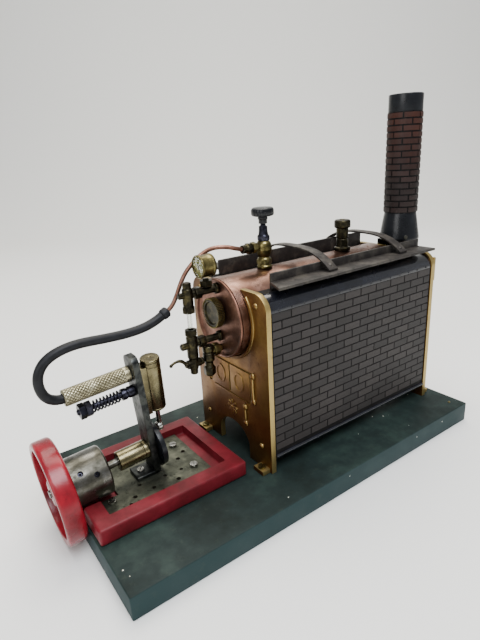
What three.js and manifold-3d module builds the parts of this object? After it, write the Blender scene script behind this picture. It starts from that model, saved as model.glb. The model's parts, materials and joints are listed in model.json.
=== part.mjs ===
// Model steam engine: a brick-cased copper boiler and an oscillating engine on a wooden board.
// Millimetres. +X runs from the engine to the chimney, +Y across the board, +Z up.
// The origin is the centre of the board's underside.

import * as THREE from "three";
import { mergeVertices } from "three/addons/utils/BufferGeometryUtils.js";
import Module from "manifold-3d";

const wasm = await Module();
wasm.setup();

// ---------- driving dimensions ----------

const gap = 0.3; // between neighbouring pieces
const round = 24; // sides of a turned piece

const board = { length: 380, width: 194, thick: 20 };

const bed = { x0: -188.5, x1: -59, y0: -45.5, y1: 54.5, top: 34, rim: 13, floor: 25.4, notch: 18 };
const sole = { x0: -174, x1: -82.5, y0: -31, y1: 40, under: 25.7, top: 28.8, slot: 13, slotEnd: -159.5 };
const soleScrew = { x: [-167, -93], side: 19, head: 3.4, thread: 1.6, hole: 1.9 };

// The engine's own frame: its X is the crankshaft, its Z runs up the standard.
const engine = { x: -123, y: 4.5, z: 51, lean: THREE.MathUtils.degToRad(4) };
const standard = { thick: 5.5, width: 18, top: 86, corner: 6, footLength: 17, footThick: 3 };
const shaft = { radius: 3, hole: 3.35, left: -84.5, right: 7.8 };
const bearing = { radius: 8.2, left: -29 };
const wheel = { radius: 41.4, left: -85.2, right: -70.5, rim: 6, web: 6, boss: 11, spokes: 6, spokeWidth: 9 };
const hub = { radius: 20.3, right: -40, screwHole: 2.2, screwDepth: 6 };
// Each grub screw's place along the shaft, and its angle down from the top.
const grubScrews = [{ x: -61.5, angle: 44 }, { x: -50.5, angle: 60 }];
const crank = { left: 4, right: 8, radius: 18.7, pinRadius: 2, pinEnd: 11.1, throw: 13 };
const crankRest = THREE.MathUtils.degToRad(20); // crank pin past top centre, towards +Y

const cylinder = { x: 14.3, radius: 8, bore: 6.3, top: 21, bottom: -21.6, cover: 2.2 };
const pivotHeight = 56; // above the shaft
const piston = { radius: 6, length: 8, clearance: 2.5, rod: 2, eye: 4, eyeLeft: 11.4, eyeRight: 16 };
const port = { left: 3.05, right: 8.5, halfWidth: 5.5, top: 19, bottom: -25, hole: 1.4, offset: 3, up: 14 };
const bolt = { radius: 2.4, left: -49.5, hole: 2.75, nutAcross: 11, nutEnds: [-48, -43.3, -43, -38.3] };
const collar = { left: -13.8, radius: 4.8 };
const spring = { left: -38, right: -14.1, radius: 4.1, wire: 0.75, turns: 7 };
const inlet = { left: -55.5, radius: 6.5, bore: 4.2, boreDepth: 6, throat: 2 };

const boilerY = -4; // the boiler's own middle plane
const drum = { radius: 34.5, wall: 1.2, z: 150, front: -49.2, rear: 149 };
const drumEnd = { front: -51.5, face: -49.5, lip: 32, skirt: -41 };
const plate = { halfWidth: 54.5, top: 178, corner: 14, foot: 20.3, frontX: -42, backX: 168, thick: 5 };
const arch = { halfWidth: 23, spring: 32, crown: 49 };
const lug = { width: 13, length: 8, thick: 4, inset: 9, hole: 1.9 };
const casing = { side: 53.5, bottom: 33, shoulder: 13, top: 176, inner: 32, sheet: 1.2, x0: -36.7, x1: 167.7 };
const rail = { web: 36, webThick: 2.4, foot: 176.3, top: 190, flange: 181, flangeThick: 2.2, outer: 57.5 };
const railEnds = { inner: -23, outer: -31, rear: 167 };
const strap = { x: [35, 128], width: 10, thick: 1.6, half: 50, foot: 183.5, rise: 14.5 };
const flue = { z: 150, radius: 15 };
const hood = { x: 187, radius: 17.5, wall: 1.5, bottom: 128, top: 183.7, start: 173.3 };
const stack = { baseFoot: 184, baseRadius: 20.4, neck: 16, neckFoot: 212, neckTop: 220, wall: 1.2 };
const barrel = { foot: 212.3, top: 310, radius: 17.5, inner: 16.4 };
const collarRing = { spigotFoot: 300, spigot: 16.1, radius: 16.7, inner: 15, foot: 310.3, top: 326.5 };

const valve = { x: 1, arm: 205.5, armEnd: -13.2, wheel: 9.8 };
const safety = { x: 98.6, radius: 5.8, cap: 7.8 };
const glass = { x: -78, radius: 2.1, bottom: 143, top: 166, bore: 2.45, armTop: 176.5, armBottom: 134.5 };
const cock = { z: 117, left: -86, right: -69 };
const gauge = { z: 197, radius: 9.6, left: -66.7, right: -53, stemX: -60 };
const plug = { z: 156, radius: 13, left: -57.5 };
const checkValve = { x: -63, arm: 123.5, top: 129, bottom: 101 };

// ---------- finishes ----------

const finish = (color, roughness, metalness) => new THREE.MeshStandardMaterial({ color, roughness, metalness });
const greenPaint = finish(0x35544c, 0.6, 0);
const redPaint = finish(0xa8222c, 0.4, 0.1);
const steel = finish(0x8d8c85, 0.45, 0.9);
const darkSteel = finish(0x46464c, 0.5, 0.8);
const brass = finish(0xa58c5a, 0.4, 0.9);
const castBrass = finish(0xa9782c, 0.45, 0.85);
const copper = finish(0x9c6a56, 0.4, 0.9);
const brickTin = finish(0x4b4644, 0.45, 0.2);
const blackPaint = finish(0x1c1e24, 0.35, 0.2);
const oxidised = finish(0x6a625c, 0.7, 0.4);
const rubber = finish(0x2a2c30, 0.6, 0);
const clearGlass = finish(0xe8f0ee, 0.1, 0);
const dialCard = finish(0xd8d6a8, 0.6, 0);

// ---------- solids ----------

// A closed geometry as a manifold, for cutting and joining.
function solid(geometry) {
  const bare = new THREE.BufferGeometry();
  bare.setAttribute("position", geometry.getAttribute("position").clone());
  bare.setIndex(geometry.getIndex());
  const merged = mergeVertices(bare, 1e-4);
  const vertProperties = merged.getAttribute("position").array;
  const triVerts = new Uint32Array(merged.getIndex().array);
  return new wasm.Manifold(new wasm.Mesh({ numProp: 3, vertProperties, triVerts }));
}

function geometryOf(manifold) {
  const mesh = manifold.getMesh();
  const geometry = new THREE.BufferGeometry();
  geometry.setAttribute("position", new THREE.BufferAttribute(mesh.vertProperties, 3));
  geometry.setIndex(new THREE.BufferAttribute(mesh.triVerts, 1));
  return geometry;
}

const join = (...parts) => geometryOf(parts.map(solid).reduce((whole, part) => whole.add(part)));
const cut = (body, ...tools) => geometryOf(tools.map(solid).reduce((rest, tool) => rest.subtract(tool), solid(body)));

const block = (x0, x1, y0, y1, z0, z1) =>
  new THREE.BoxGeometry(x1 - x0, y1 - y0, z1 - z0).translate((x0 + x1) / 2, (y0 + y1) / 2, (z0 + z1) / 2);

// A profile of [radius, height] turned about Z. One that starts off the axis closes on itself.
function turned(profile, sides = round) {
  const points = profile.map(([radius, height]) => new THREE.Vector2(radius, height));
  if (THREE.ShapeUtils.area(points) < 0) points.reverse();
  if (points[0].x > 0) points.push(points[0].clone());
  return new THREE.LatheGeometry(points, sides).rotateX(Math.PI / 2);
}

// Turned along X: heights in the profile are X positions.
const turnedX = (profile, sides = round) => turned(profile, sides).rotateY(Math.PI / 2);

const rod = (radius, from, to, sides = round) => turned([[0, from], [radius, from], [radius, to], [0, to]], sides);
const rodX = (radius, from, to, sides = round) => rod(radius, from, to, sides).rotateY(Math.PI / 2);
const tube = (bore, radius, from, to, sides = round) =>
  turned([[bore, from], [radius, from], [radius, to], [bore, to]], sides);
const tubeX = (bore, radius, from, to, sides = round) => tube(bore, radius, from, to, sides).rotateY(Math.PI / 2);

const extrude = (shape, depth, curveSegments = 10) =>
  new THREE.ExtrudeGeometry(shape, { depth, bevelEnabled: false, curveSegments });

// A shape drawn in (Y, Z) and thickened along X.
const acrossX = new THREE.Matrix4().makeBasis(
  new THREE.Vector3(0, 1, 0), new THREE.Vector3(0, 0, 1), new THREE.Vector3(1, 0, 0));
const plateX = (shape, x0, x1, curveSegments) =>
  extrude(shape, x1 - x0, curveSegments).applyMatrix4(acrossX).translate(x0, 0, 0);

function polygon(points) {
  return new THREE.Shape(points.map(([a, b]) => new THREE.Vector2(a, b)));
}

// A tube of round section along a curve.
function alongCurve(curve, radius, sides, steps) {
  const section = new THREE.Shape();
  for (let i = 0; i < sides; i += 1) {
    const angle = (2 * Math.PI * i) / sides;
    const point = [radius * Math.cos(angle), radius * Math.sin(angle)];
    if (i === 0) section.moveTo(...point);
    else section.lineTo(...point);
  }
  return new THREE.ExtrudeGeometry(section, { steps, bevelEnabled: false, extrudePath: curve });
}

const smooth = (points) => new THREE.CatmullRomCurve3(points.map((p) => new THREE.Vector3(...p)), false, "centripetal");

const model = new THREE.Group();

function piece(name, geometry, material, group = model) {
  geometry.computeVertexNormals();
  const mesh = new THREE.Mesh(geometry, material);
  mesh.name = name;
  group.add(mesh);
  return mesh;
}

// ---------- baseboard ----------

function addBaseboard() {
  const { length, width, thick } = board;
  piece("baseboard", block(-length / 2, length / 2, -width / 2, width / 2, 0, thick), greenPaint);
}

// ---------- engine bed ----------

function addBed() {
  const { x0, x1, y0, y1, top, rim, floor, notch } = bed;
  const tray = cut(
    block(x0, x1, y0, y1, board.thick + gap, top),
    block(x0 + rim, x1 - rim, y0 + rim, y1 - rim, floor, top + 1),
    block(x0 - 1, x0 + rim + 1, engine.y - notch, engine.y + notch, floor, top + 1));
  piece("bed_casting", tray, redPaint);

  const holes = [];
  let count = 0;
  for (const x of soleScrew.x) {
    for (const side of [-1, 1]) {
      const y = engine.y + side * soleScrew.side;
      holes.push(rod(soleScrew.hole, sole.under - 1, sole.top + 1, 12).translate(x, y, 0));
      const head = sole.top + gap;
      const screw = turned([
        [0, sole.under + gap], [soleScrew.thread, sole.under + gap], [soleScrew.thread, head],
        [soleScrew.head, head], [soleScrew.head, head + 1.6], [0, head + 2],
      ], 16).translate(x, y, 0);
      count += 1;
      piece(`sole_screw_${count}`, screw, steel);
    }
  }
  const hubSlot = block(sole.x0 - 1, sole.slotEnd, engine.y - sole.slot, engine.y + sole.slot, sole.under - 1, 40);
  const body = block(sole.x0, sole.x1, sole.y0, sole.y1, sole.under, sole.top);
  piece("sole_plate", cut(body, hubSlot, ...holes), steel);
}

// ---------- engine ----------

const engineGroup = new THREE.Group();
engineGroup.position.set(engine.x, engine.y, engine.z);
engineGroup.rotation.y = -engine.lean;
model.add(engineGroup);

function addStandard() {
  const { thick, width, top, corner, footLength, footThick } = standard;
  const half = width / 2;
  const face = thick / 2;
  const footTop = sole.top + gap + footThick - engine.z;
  const outline = new THREE.Shape();
  outline.moveTo(-half, footTop - footThick + 0.5);
  outline.lineTo(half, footTop - footThick + 0.5);
  outline.lineTo(half, top - corner);
  outline.absarc(half - corner, top - corner, corner, 0, Math.PI / 2, false);
  outline.absarc(corner - half, top - corner, corner, Math.PI / 2, Math.PI, false);
  outline.closePath();
  const upright = plateX(outline, -face, face, 4);
  // The foot lies level on the sole plate, so it turns back by the engine's lean.
  const foot = block(-footLength, face, -half, half, footTop - footThick, footTop).rotateY(engine.lean);
  const bracket = join(upright, foot);
  const inletHole = rodX(port.hole, -face - 1, face + 1, 12);
  const holes = [
    rodX(shaft.hole, -face - 1, face + 1),
    rodX(bolt.hole, -face - 1, face + 1).translate(0, 0, pivotHeight),
    inletHole.clone().translate(0, port.offset, pivotHeight + port.up),
    inletHole.clone().translate(0, -port.offset, pivotHeight + port.up),
  ];
  piece("engine_standard", cut(bracket, ...holes), darkSteel, engineGroup);
  piece("crank_bearing", tubeX(shaft.hole, bearing.radius, bearing.left, -face - gap), brass, engineGroup);

  const end = -face - gap;
  const { left, radius, bore, boreDepth, throat } = inlet;
  const pipe = turnedX([
    [bore, left], [radius, left], [radius, end], [throat, end], [throat, left + boreDepth], [bore, left + boreDepth],
  ]).translate(0, port.offset, pivotHeight + port.up);
  piece("steam_inlet_tube", pipe, brass, engineGroup);
}

function addCrankshaft() {
  piece("crankshaft", rodX(shaft.radius, shaft.left, shaft.right, 20), steel, engineGroup);

  const { radius, left, right, rim, web, boss, spokes, spokeWidth } = wheel;
  const middle = (left + right) / 2;
  const ring = tubeX(radius - rim, radius, left, right, 48);
  const centre = tubeX(shaft.hole, boss, left + 2, right, 24);
  const arms = [];
  for (let i = 0; i < spokes; i += 1) {
    const arm = block(middle - web / 2, middle + web / 2, -spokeWidth / 2, spokeWidth / 2, boss - 2, radius - rim + 2);
    arms.push(arm.rotateX((2 * Math.PI * i) / spokes));
  }
  piece("flywheel", join(ring, centre, ...arms), redPaint, engineGroup);

  const pulley = tubeX(shaft.hole, hub.radius, right + gap, hub.right, 36);
  const screwHoles = grubScrews.map(({ x, angle }) =>
    rod(hub.screwHole, hub.radius - hub.screwDepth, hub.radius + 2, 12)
      .rotateX(THREE.MathUtils.degToRad(angle)).translate(x, 0, 0));
  piece("flywheel_hub", cut(pulley, ...screwHoles), steel, engineGroup);

  const pinY = crank.throw * Math.sin(crankRest);
  const pinZ = crank.throw * Math.cos(crankRest);
  const pinHole = rodX(crank.pinRadius + gap, crank.left - 1, crank.right + 1, 16).translate(0, pinY, pinZ);
  const disc = cut(tubeX(shaft.hole, crank.radius, crank.left, crank.right, 36), pinHole);
  piece("crank_disc", disc, blackPaint, engineGroup);
  const pin = rodX(crank.pinRadius, crank.left + 0.5, crank.pinEnd, 16).translate(0, pinY, pinZ);
  piece("crank_pin", pin, steel, engineGroup);
}

// Everything below swings about the pivot bolt, so it is drawn with the pivot at the origin.
const reachY = crank.throw * Math.sin(crankRest);
const reachZ = pivotHeight - crank.throw * Math.cos(crankRest);
const reach = Math.hypot(reachY, reachZ); // pivot to crank pin at rest
const shortest = pivotHeight - crank.throw; // pivot to crank pin at top centre

const swingGroup = new THREE.Group();
swingGroup.position.set(0, 0, pivotHeight);
swingGroup.rotation.x = Math.atan2(reachY, reachZ);
engineGroup.add(swingGroup);

function addCylinder() {
  const { x, radius, bore, top, bottom, cover } = cylinder;
  const portHole = rodX(port.hole, 0, x, 12).translate(0, 0, port.up);
  const wall = cut(tube(bore, radius, bottom, top).translate(x, 0, 0), portHole);
  piece("cylinder", wall, brass, swingGroup);
  const lid = turned([
    [0, top + gap], [radius, top + gap], [radius, top + cover], [radius - 0.6, top + cover + 0.5], [0, top + cover + 0.5],
  ]);
  piece("cylinder_top_cover", lid.translate(x, 0, 0), brass, swingGroup);
  const low = bottom - gap;
  const gland = turned([
    [piston.rod + gap, low - 3.6], [radius - 2.6, low - 3.6], [radius, low - 1.4], [radius, low], [piston.rod + gap, low],
  ]);
  piece("cylinder_gland", gland.translate(x, 0, 0), brass, swingGroup);

  const saddle = rod(radius + gap, bottom - 10, top + 10, 48).translate(x, 0, 0);
  const blank = block(port.left, port.right, -port.halfWidth, port.halfWidth, port.bottom, port.top);
  const boltHole = rodX(bolt.radius + gap, port.left - 1, port.left + 2, 20);
  const steamWay = rodX(port.hole, port.left - 1, x, 12).translate(0, 0, port.up);
  piece("port_block", cut(blank, saddle, boltHole, steamWay), brass, swingGroup);

  piece("pivot_bolt", rodX(bolt.radius, bolt.left, port.left + 1.6, 20), darkSteel, swingGroup);
  const [lockLeft, lockRight, nutLeft, nutRight] = bolt.nutEnds;
  const nutRadius = bolt.nutAcross / Math.sqrt(3);
  const nutHole = rodX(bolt.radius + gap, lockLeft - 1, nutRight + 1, 20);
  const hexagon = (from, to) => cut(rodX(nutRadius, from, to, 6), nutHole);
  piece("pivot_lock_nut", hexagon(lockLeft, lockRight), darkSteel, swingGroup);
  piece("pivot_nut", hexagon(nutLeft, nutRight).rotateX(0.3), darkSteel, swingGroup);
}

function addPivotSpring() {
  const { left, right, radius, wire, turns } = spring;
  class Coil extends THREE.Curve {
    getPoint(t, target = new THREE.Vector3()) {
      const angle = 2 * Math.PI * turns * t;
      const start = left + wire;
      const x = start + (right - wire - start) * t;
      return target.set(x, radius * Math.cos(angle), radius * Math.sin(angle));
    }
  }
  piece("pivot_spring", alongCurve(new Coil(), wire, 5, turns * 10), darkSteel, swingGroup);
  const seat = tubeX(bolt.radius + gap, collar.radius, collar.left, -standard.thick / 2 - gap, 20);
  piece("pivot_collar", seat, steel, swingGroup);
}

function addPiston() {
  const { radius, length, clearance, rod: rodRadius, eye, eyeLeft, eyeRight } = piston;
  const crownAtTop = cylinder.top - clearance;
  const crown = crownAtTop - (reach - shortest);
  piece("piston", rod(radius, crown - length, crown, 24).translate(cylinder.x, 0, 0), steel, swingGroup);
  const stem = rod(rodRadius, -reach + eye - 1, crown - length - gap, 16).translate(cylinder.x, 0, 0);
  const bigEnd = rodX(eye, eyeLeft, eyeRight, 20).translate(0, 0, -reach);
  const eyeHole = rodX(crank.pinRadius + gap, eyeLeft - 1, eyeRight + 1, 16).translate(0, 0, -reach);
  piece("piston_rod", cut(join(stem, bigEnd), eyeHole), steel, swingGroup);
}

// ---------- boiler house ----------

// The outline that both end plates share, drawn in (Y, Z).
function plateOutline() {
  const { halfWidth, top, corner, foot } = plate;
  const low = boilerY - halfWidth;
  const high = boilerY + halfWidth;
  const shape = new THREE.Shape();
  shape.moveTo(low, foot);
  shape.lineTo(boilerY - arch.halfWidth, foot);
  shape.lineTo(boilerY - arch.halfWidth, arch.spring);
  shape.absellipse(boilerY, arch.spring, arch.halfWidth, arch.crown - arch.spring, Math.PI, 0, true);
  shape.lineTo(boilerY + arch.halfWidth, foot);
  shape.lineTo(high, foot);
  shape.lineTo(high, top - corner);
  shape.absarc(high - corner, top - corner, corner, 0, Math.PI / 2, false);
  shape.absarc(low + corner, top - corner, corner, Math.PI / 2, Math.PI, false);
  shape.closePath();
  return shape;
}

// Two feet that stand out of a plate, with a hole for a screw in each.
function feet(x, outward) {
  const { width, length, thick, inset, hole } = lug;
  const solids = [];
  const holes = [];
  for (const side of [-1, 1]) {
    const y = boilerY + side * (plate.halfWidth - inset);
    const ends = [x - outward, x + outward * length].sort((a, b) => a - b);
    solids.push(block(...ends, y - width / 2, y + width / 2, plate.foot, plate.foot + thick));
    holes.push(rod(hole, plate.foot - 1, plate.foot + thick + 1, 12).translate(x + outward * length * 0.5, y, 0));
  }
  return { solids, holes };
}

function addEndPlates() {
  const { frontX, backX, thick } = plate;
  const drumHole = rodX(drum.radius + 0.8, frontX - 2, frontX + thick + 2, 48).translate(0, boilerY, drum.z);
  const frontFeet = feet(frontX, -1);
  const front = join(plateX(plateOutline(), frontX, frontX + thick), ...frontFeet.solids);
  piece("front_plate", cut(front, drumHole, ...frontFeet.holes), castBrass);

  const flueHole = rodX(flue.radius, backX - 2, backX + thick + 2, 32).translate(0, boilerY, flue.z);
  const backFeet = feet(backX + thick, 1);
  const back = join(plateX(plateOutline(), backX, backX + thick), ...backFeet.solids);
  piece("back_plate", cut(back, flueHole, ...backFeet.holes), castBrass);
}

// One half of the brick-printed jacket: a side that rolls over into the roof.
function casingShape(side) {
  const { side: reachOut, bottom, shoulder, top, inner, sheet } = casing;
  const y = (distance) => boilerY + side * distance;
  const bend = side < 0 ? [Math.PI, Math.PI / 2, true] : [0, Math.PI / 2, false];
  const back = side < 0 ? [Math.PI / 2, Math.PI, false] : [Math.PI / 2, 0, true];
  const centre = y(reachOut - shoulder);
  const shape = new THREE.Shape();
  shape.moveTo(y(reachOut), bottom);
  shape.lineTo(y(reachOut), top - shoulder);
  shape.absarc(centre, top - shoulder, shoulder, ...bend);
  shape.lineTo(y(inner), top);
  shape.lineTo(y(inner), top - sheet);
  shape.lineTo(centre, top - sheet);
  shape.absarc(centre, top - shoulder, shoulder - sheet, ...back);
  shape.lineTo(y(reachOut - sheet), bottom);
  shape.closePath();
  return shape;
}

function addCasing() {
  piece("casing_near", plateX(casingShape(-1), casing.x0, casing.x1, 8), brickTin);
  piece("casing_far", plateX(casingShape(1), casing.x0, casing.x1, 8), brickTin);
}

function addRoof() {
  const { web, webThick, foot, top, flange, flangeThick, outer } = rail;
  for (const [name, side] of [["near_rail", -1], ["far_rail", 1]]) {
    const y = (distance) => boilerY + side * distance;
    const [webLow, webHigh] = [y(web), y(web + webThick)].sort((a, b) => a - b);
    const wall = block(railEnds.inner, railEnds.rear, webLow, webHigh, foot, top);
    const ledge = extrude(polygon([
      [railEnds.inner, y(web + webThick / 2)], [railEnds.outer, y(outer)],
      [railEnds.rear, y(outer)], [railEnds.rear, y(web + webThick / 2)],
    ]), flangeThick).translate(0, 0, flange);
    piece(name, join(wall, ledge), oxidised);
  }
  // Each strap arches over the drum from one ledge to the other.
  const steps = 20;
  const height = (s) => strap.foot + strap.rise * (1 - Math.abs(s) ** 3);
  const upper = [];
  const lower = [];
  for (let i = 0; i <= steps; i += 1) {
    const s = (2 * i) / steps - 1;
    lower.push([boilerY + s * strap.half, height(s)]);
    upper.unshift([boilerY + s * strap.half, height(s) + strap.thick]);
  }
  const names = ["strap_front", "strap_rear"];
  names.forEach((name, i) => {
    const x = strap.x[i];
    piece(name, plateX(polygon([...lower, ...upper]), x - strap.width / 2, x + strap.width / 2), oxidised);
  });
}

// ---------- boiler ----------

function addDrum() {
  const { radius, wall, z, front, rear } = drum;
  const shell = turnedX([
    [0, rear - wall], [radius - wall, rear - wall], [radius - wall, front],
    [radius, front], [radius, rear - 4], [radius - 4, rear], [0, rear],
  ], 56).translate(0, boilerY, z);
  piece("boiler_drum", shell, copper);
  const { front: rimFront, face, lip, skirt } = drumEnd;
  const skirtRadius = radius - wall - gap;
  const end = turnedX([
    [0, face], [lip, face], [lip, rimFront], [radius, rimFront], [radius, front - gap],
    [skirtRadius, front - gap], [skirtRadius, skirt], [lip, skirt], [lip, face + wall], [0, face + wall],
  ], 56).translate(0, boilerY, z);
  piece("drum_front_end", end, copper);
  const filler = turnedX([
    [0, plug.left], [plug.radius - 1, plug.left], [plug.radius, plug.left + 1],
    [plug.radius, face - 3], [plug.radius - 2, face - gap], [0, face - gap],
  ], 32).translate(0, boilerY, plug.z);
  piece("filler_plug", filler, brass);
}

function addChimney() {
  const { x, radius, wall, bottom, top, start } = hood;
  const box = (grow, x0, low, high) => {
    const r = radius - grow;
    const shape = new THREE.Shape();
    shape.moveTo(x0, boilerY - r);
    shape.lineTo(x, boilerY - r);
    shape.absarc(x, boilerY, r, -Math.PI / 2, Math.PI / 2, false);
    shape.lineTo(x0, boilerY + r);
    shape.closePath();
    return extrude(shape, high - low, 10).translate(0, 0, low);
  };
  piece("smoke_hood", cut(box(0, start, bottom, top), box(wall, start - 1, bottom + wall, top + 1)), blackPaint);

  const at = (geometry) => geometry.translate(x, boilerY, 0);
  const { baseFoot, baseRadius, neck, neckFoot, neckTop } = stack;
  const skin = stack.wall;
  const base = turned([
    [baseRadius - skin, baseFoot], [baseRadius, baseFoot], [neck, neckFoot], [neck, neckTop],
    [neck - skin, neckTop], [neck - skin, neckFoot],
  ]);
  piece("chimney_base", at(base), blackPaint);
  piece("chimney_barrel", at(tube(barrel.inner, barrel.radius, barrel.foot, barrel.top, 32)), brickTin);
  const ring = collarRing;
  const crown = turned([
    [ring.inner, ring.spigotFoot], [ring.spigot, ring.spigotFoot], [ring.spigot, ring.foot],
    [ring.radius, ring.foot], [ring.radius, ring.top], [ring.inner, ring.top],
  ]);
  piece("chimney_collar", at(crown), blackPaint);
}

// ---------- fittings ----------

function addStopValve() {
  const at = (geometry) => geometry.translate(valve.x, boilerY, 0);
  const top = drum.z + drum.radius + gap;
  const body = at(turned([
    [0, top], [6.8, top], [6.8, top + 2], [5.9, top + 3], [5.9, top + 8], [4.6, top + 9.6], [6.2, 197.5],
    [7, 201], [7, 204], [6, 207], [4.2, 208.6], [0, 208.6],
  ]));
  const elbow = turnedX([
    [0, valve.armEnd], [4.6, valve.armEnd], [4.8, -8], [3.2, -7], [3.2, 0], [0, 0],
  ], 20).translate(0, boilerY, valve.arm - 1.5);
  const seat = at(rod(2.9, 200, 210, 16));
  piece("stop_valve_body", cut(join(body, elbow), seat), brass);
  const gland = turned([
    [2.9, 208.9], [5.2, 208.9], [5.2, 213], [4, 214.5], [3.6, 221], [2.9, 221],
  ]);
  piece("stop_valve_gland", at(gland), brass);
  piece("stop_valve_spindle", at(rod(2.5, 202, 229, 16)), darkSteel);
  const { wheel: reachOut } = valve;
  const handwheel = turned([
    [0, 229.3], [3.4, 229.3], [4, 231.2], [reachOut - 1, 231.2], [reachOut, 232.2], [reachOut, 234.8],
    [reachOut - 1, 235.8], [4, 235.8], [3, 237], [0, 237],
  ], 24);
  piece("stop_valve_handwheel", at(handwheel), blackPaint);
}

function addSteamPipe() {
  const arm = valve.arm - 1.5;
  const nut = turnedX([[2.2, -22.4], [3.8, -22.4], [3.8, -18], [4.8, -17], [4.8, -13.5], [2.2, -13.5]], 20);
  piece("pipe_union_nut", nut.translate(0, boilerY, arm), brass);
  const route = smooth([
    [-14, boilerY, arm], [-20, boilerY, arm], [-27, -3.4, arm + 1.6], [-34, -1, 207.6], [-41, 3, 208.2],
    [-48, 7, 206.8], [-56, 8.6, 203], [-64, 8.6, 197.6], [-71.5, 8.4, 190.8], [-77, 8, 183], [-81.6, 7.8, 174.4],
    [-86, 7.6, 167.8], [-90.4, 7.6, 163.8],
  ]);
  piece("steam_pipe", alongCurve(route, 1.8, 8, 40), copper);
  // The union that joins the pipe to the hose.
  const union = turnedX([[0, -1], [4.3, -1], [4.6, 0], [4.6, 4.4], [3, 5.4], [0, 5.4]], 20);
  union.rotateY(THREE.MathUtils.degToRad(-27)).translate(-95.6, 7.6, 161.2);
  piece("hose_union", union, darkSteel);
}

// The rubber hose, from the union on the pipe to the bore of the steam inlet tube.
const hoseRoute = [
  [-96.76, 7.6, 160.61], [-101, 7.6, 158.5], [-105.6, 7.6, 156.8], [-110.6, 7.6, 155.4], [-116.4, 7.6, 154.4],
  [-123.8, 7.6, 153.8], [-131.7, 7.6, 153.7], [-139.8, 7.6, 154], [-147.9, 7.6, 154.5], [-155.7, 7.6, 155.1],
  [-163.3, 7.6, 155.5], [-170.5, 7.6, 155.3], [-177, 7.6, 154.4], [-182.4, 7.6, 153], [-187.2, 7.6, 151],
  [-191.4, 7.6, 148.2], [-194.6, 7.6, 144.6], [-196.8, 7.6, 140.4], [-197.9, 7.6, 136], [-198, 7.6, 131.8],
  [-197.3, 7.6, 127.6], [-195.8, 7.5, 123.6], [-193, 7.5, 120.1], [-189, 7.5, 117.8], [-184.9, 7.5, 116.9],
  [-181, 7.5, 117.12], [-177.56, 7.5, 117.36],
];

function addHose() {
  piece("steam_hose", alongCurve(smooth(hoseRoute), 3.7, 10, 50), rubber);
}

function addSafetyValve() {
  const at = (geometry) => geometry.translate(safety.x, boilerY, 0);
  const top = drum.z + drum.radius + gap;
  const { radius, cap } = safety;
  const body = turned([
    [0, top], [radius + 2, top], [radius + 2, top + 3], [radius, top + 4],
    [radius, 206.5], [2.3, 206.5], [2.3, top + 3], [0, top + 3],
  ]);
  piece("safety_valve_body", at(body), brass);
  const lid = turned([
    [0, 196], [1.8, 196], [1.8, 206.9], [cap, 206.9], [cap, 213.5], [cap - 1, 214.6], [0, 214.6],
  ]);
  piece("safety_valve_cap", at(lid), brass);
}

function addWaterGauge() {
  const { x, radius, bottom, top, bore, armTop, armBottom } = glass;
  const at = (geometry) => geometry.translate(x, boilerY, 0);
  const armX = (from, to, r, z) => rodX(r, from, to, 16).translate(0, boilerY, z);
  const face = drumEnd.face - gap;
  const glassHole = at(rod(bore, bottom - 5, 170, 20));

  const upper = at(turned([
    [0, 161.5], [4.9, 161.5], [4.9, 166.5], [4.2, 167.5], [4.4, 169], [4.4, 181], [3.6, 182], [3.6, 186], [0, 186.6],
  ], 20));
  const upperArm = armX(x, face, 3, armTop);
  const upperPlug = armX(x - 8.6, x, 2.6, armTop);
  piece("sight_glass_top_fitting", cut(join(upper, upperArm, upperPlug), glassHole), brass);

  const lower = at(turned([
    [0, 107.5], [3.2, 108], [3.4, 112], [4, 113], [4, 121.5], [4.7, 123], [4.7, 140.5], [4.1, 141.5],
    [4.9, 142.3], [4.9, 147.3], [0, 147.3],
  ], 20));
  const lowerArm = armX(x, face, 3, armBottom);
  const lowerPlug = armX(x - 10.5, x, 3, armBottom - 0.8);
  const cockBarrel = armX(x - 6, x + 6, 3.8, cock.z);
  const cockHole = armX(x - 9, x + 9, 2.4, cock.z);
  const bottomFitting = cut(join(lower, lowerArm, lowerPlug, cockBarrel), glassHole, cockHole);
  piece("sight_glass_bottom_fitting", bottomFitting, brass);
  piece("sight_glass", at(tube(radius - 0.8, radius, bottom, top, 16)), clearGlass);

  const core = turnedX([
    [0, cock.left], [2.1, cock.left], [2.1, cock.right - 2.7], [3, cock.right - 2.4], [3, cock.right], [0, cock.right],
  ], 16).translate(0, boilerY, cock.z);
  const handle = alongCurve(smooth([
    [cock.left + 0.8, boilerY, cock.z], [cock.left - 1.2, boilerY, cock.z + 3.4], [cock.left - 4.6, boilerY, cock.z + 5.6],
    [cock.left - 9, boilerY, cock.z + 5.6], [cock.left - 14, boilerY, cock.z + 3.6],
  ]), 1.5, 8, 12);
  piece("drain_cock_lever", join(core, handle), brass);
}

function addPressureGauge() {
  const { z, radius, left, right, stemX } = gauge;
  const at = (geometry) => geometry.translate(0, boilerY, z);
  const shell = turnedX([
    [0, right - 1.5], [radius - 1.2, right - 1.5], [radius - 1.2, left], [radius, left], [radius, right - 2],
    [radius - 2, right], [0, right],
  ], 32);
  piece("gauge_case", at(shell), brass);
  piece("gauge_dial", at(rodX(radius - 1.2 - gap, left + 1.6, left + 2.4, 28)), dialCard);
  const needle = polygon([[-0.5, -2.4], [0.5, -2.4], [0.35, 5.6], [0, 6.6], [-0.35, 5.6]]);
  const pointer = plateX(needle, left + 0.8, left + 1.3).rotateX(THREE.MathUtils.degToRad(-35));
  piece("gauge_needle", at(pointer), blackPaint);
  const low = glass.armTop + 3 + gap;
  const stem = turned([
    [0, low], [4, low], [4, low + 3.4], [2.6, low + 4.2], [2.6, z - radius - gap - 0.4], [0, z - radius - gap - 0.4],
  ], 16).translate(stemX, boilerY, 0);
  piece("gauge_stem", stem, brass);
}

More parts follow.
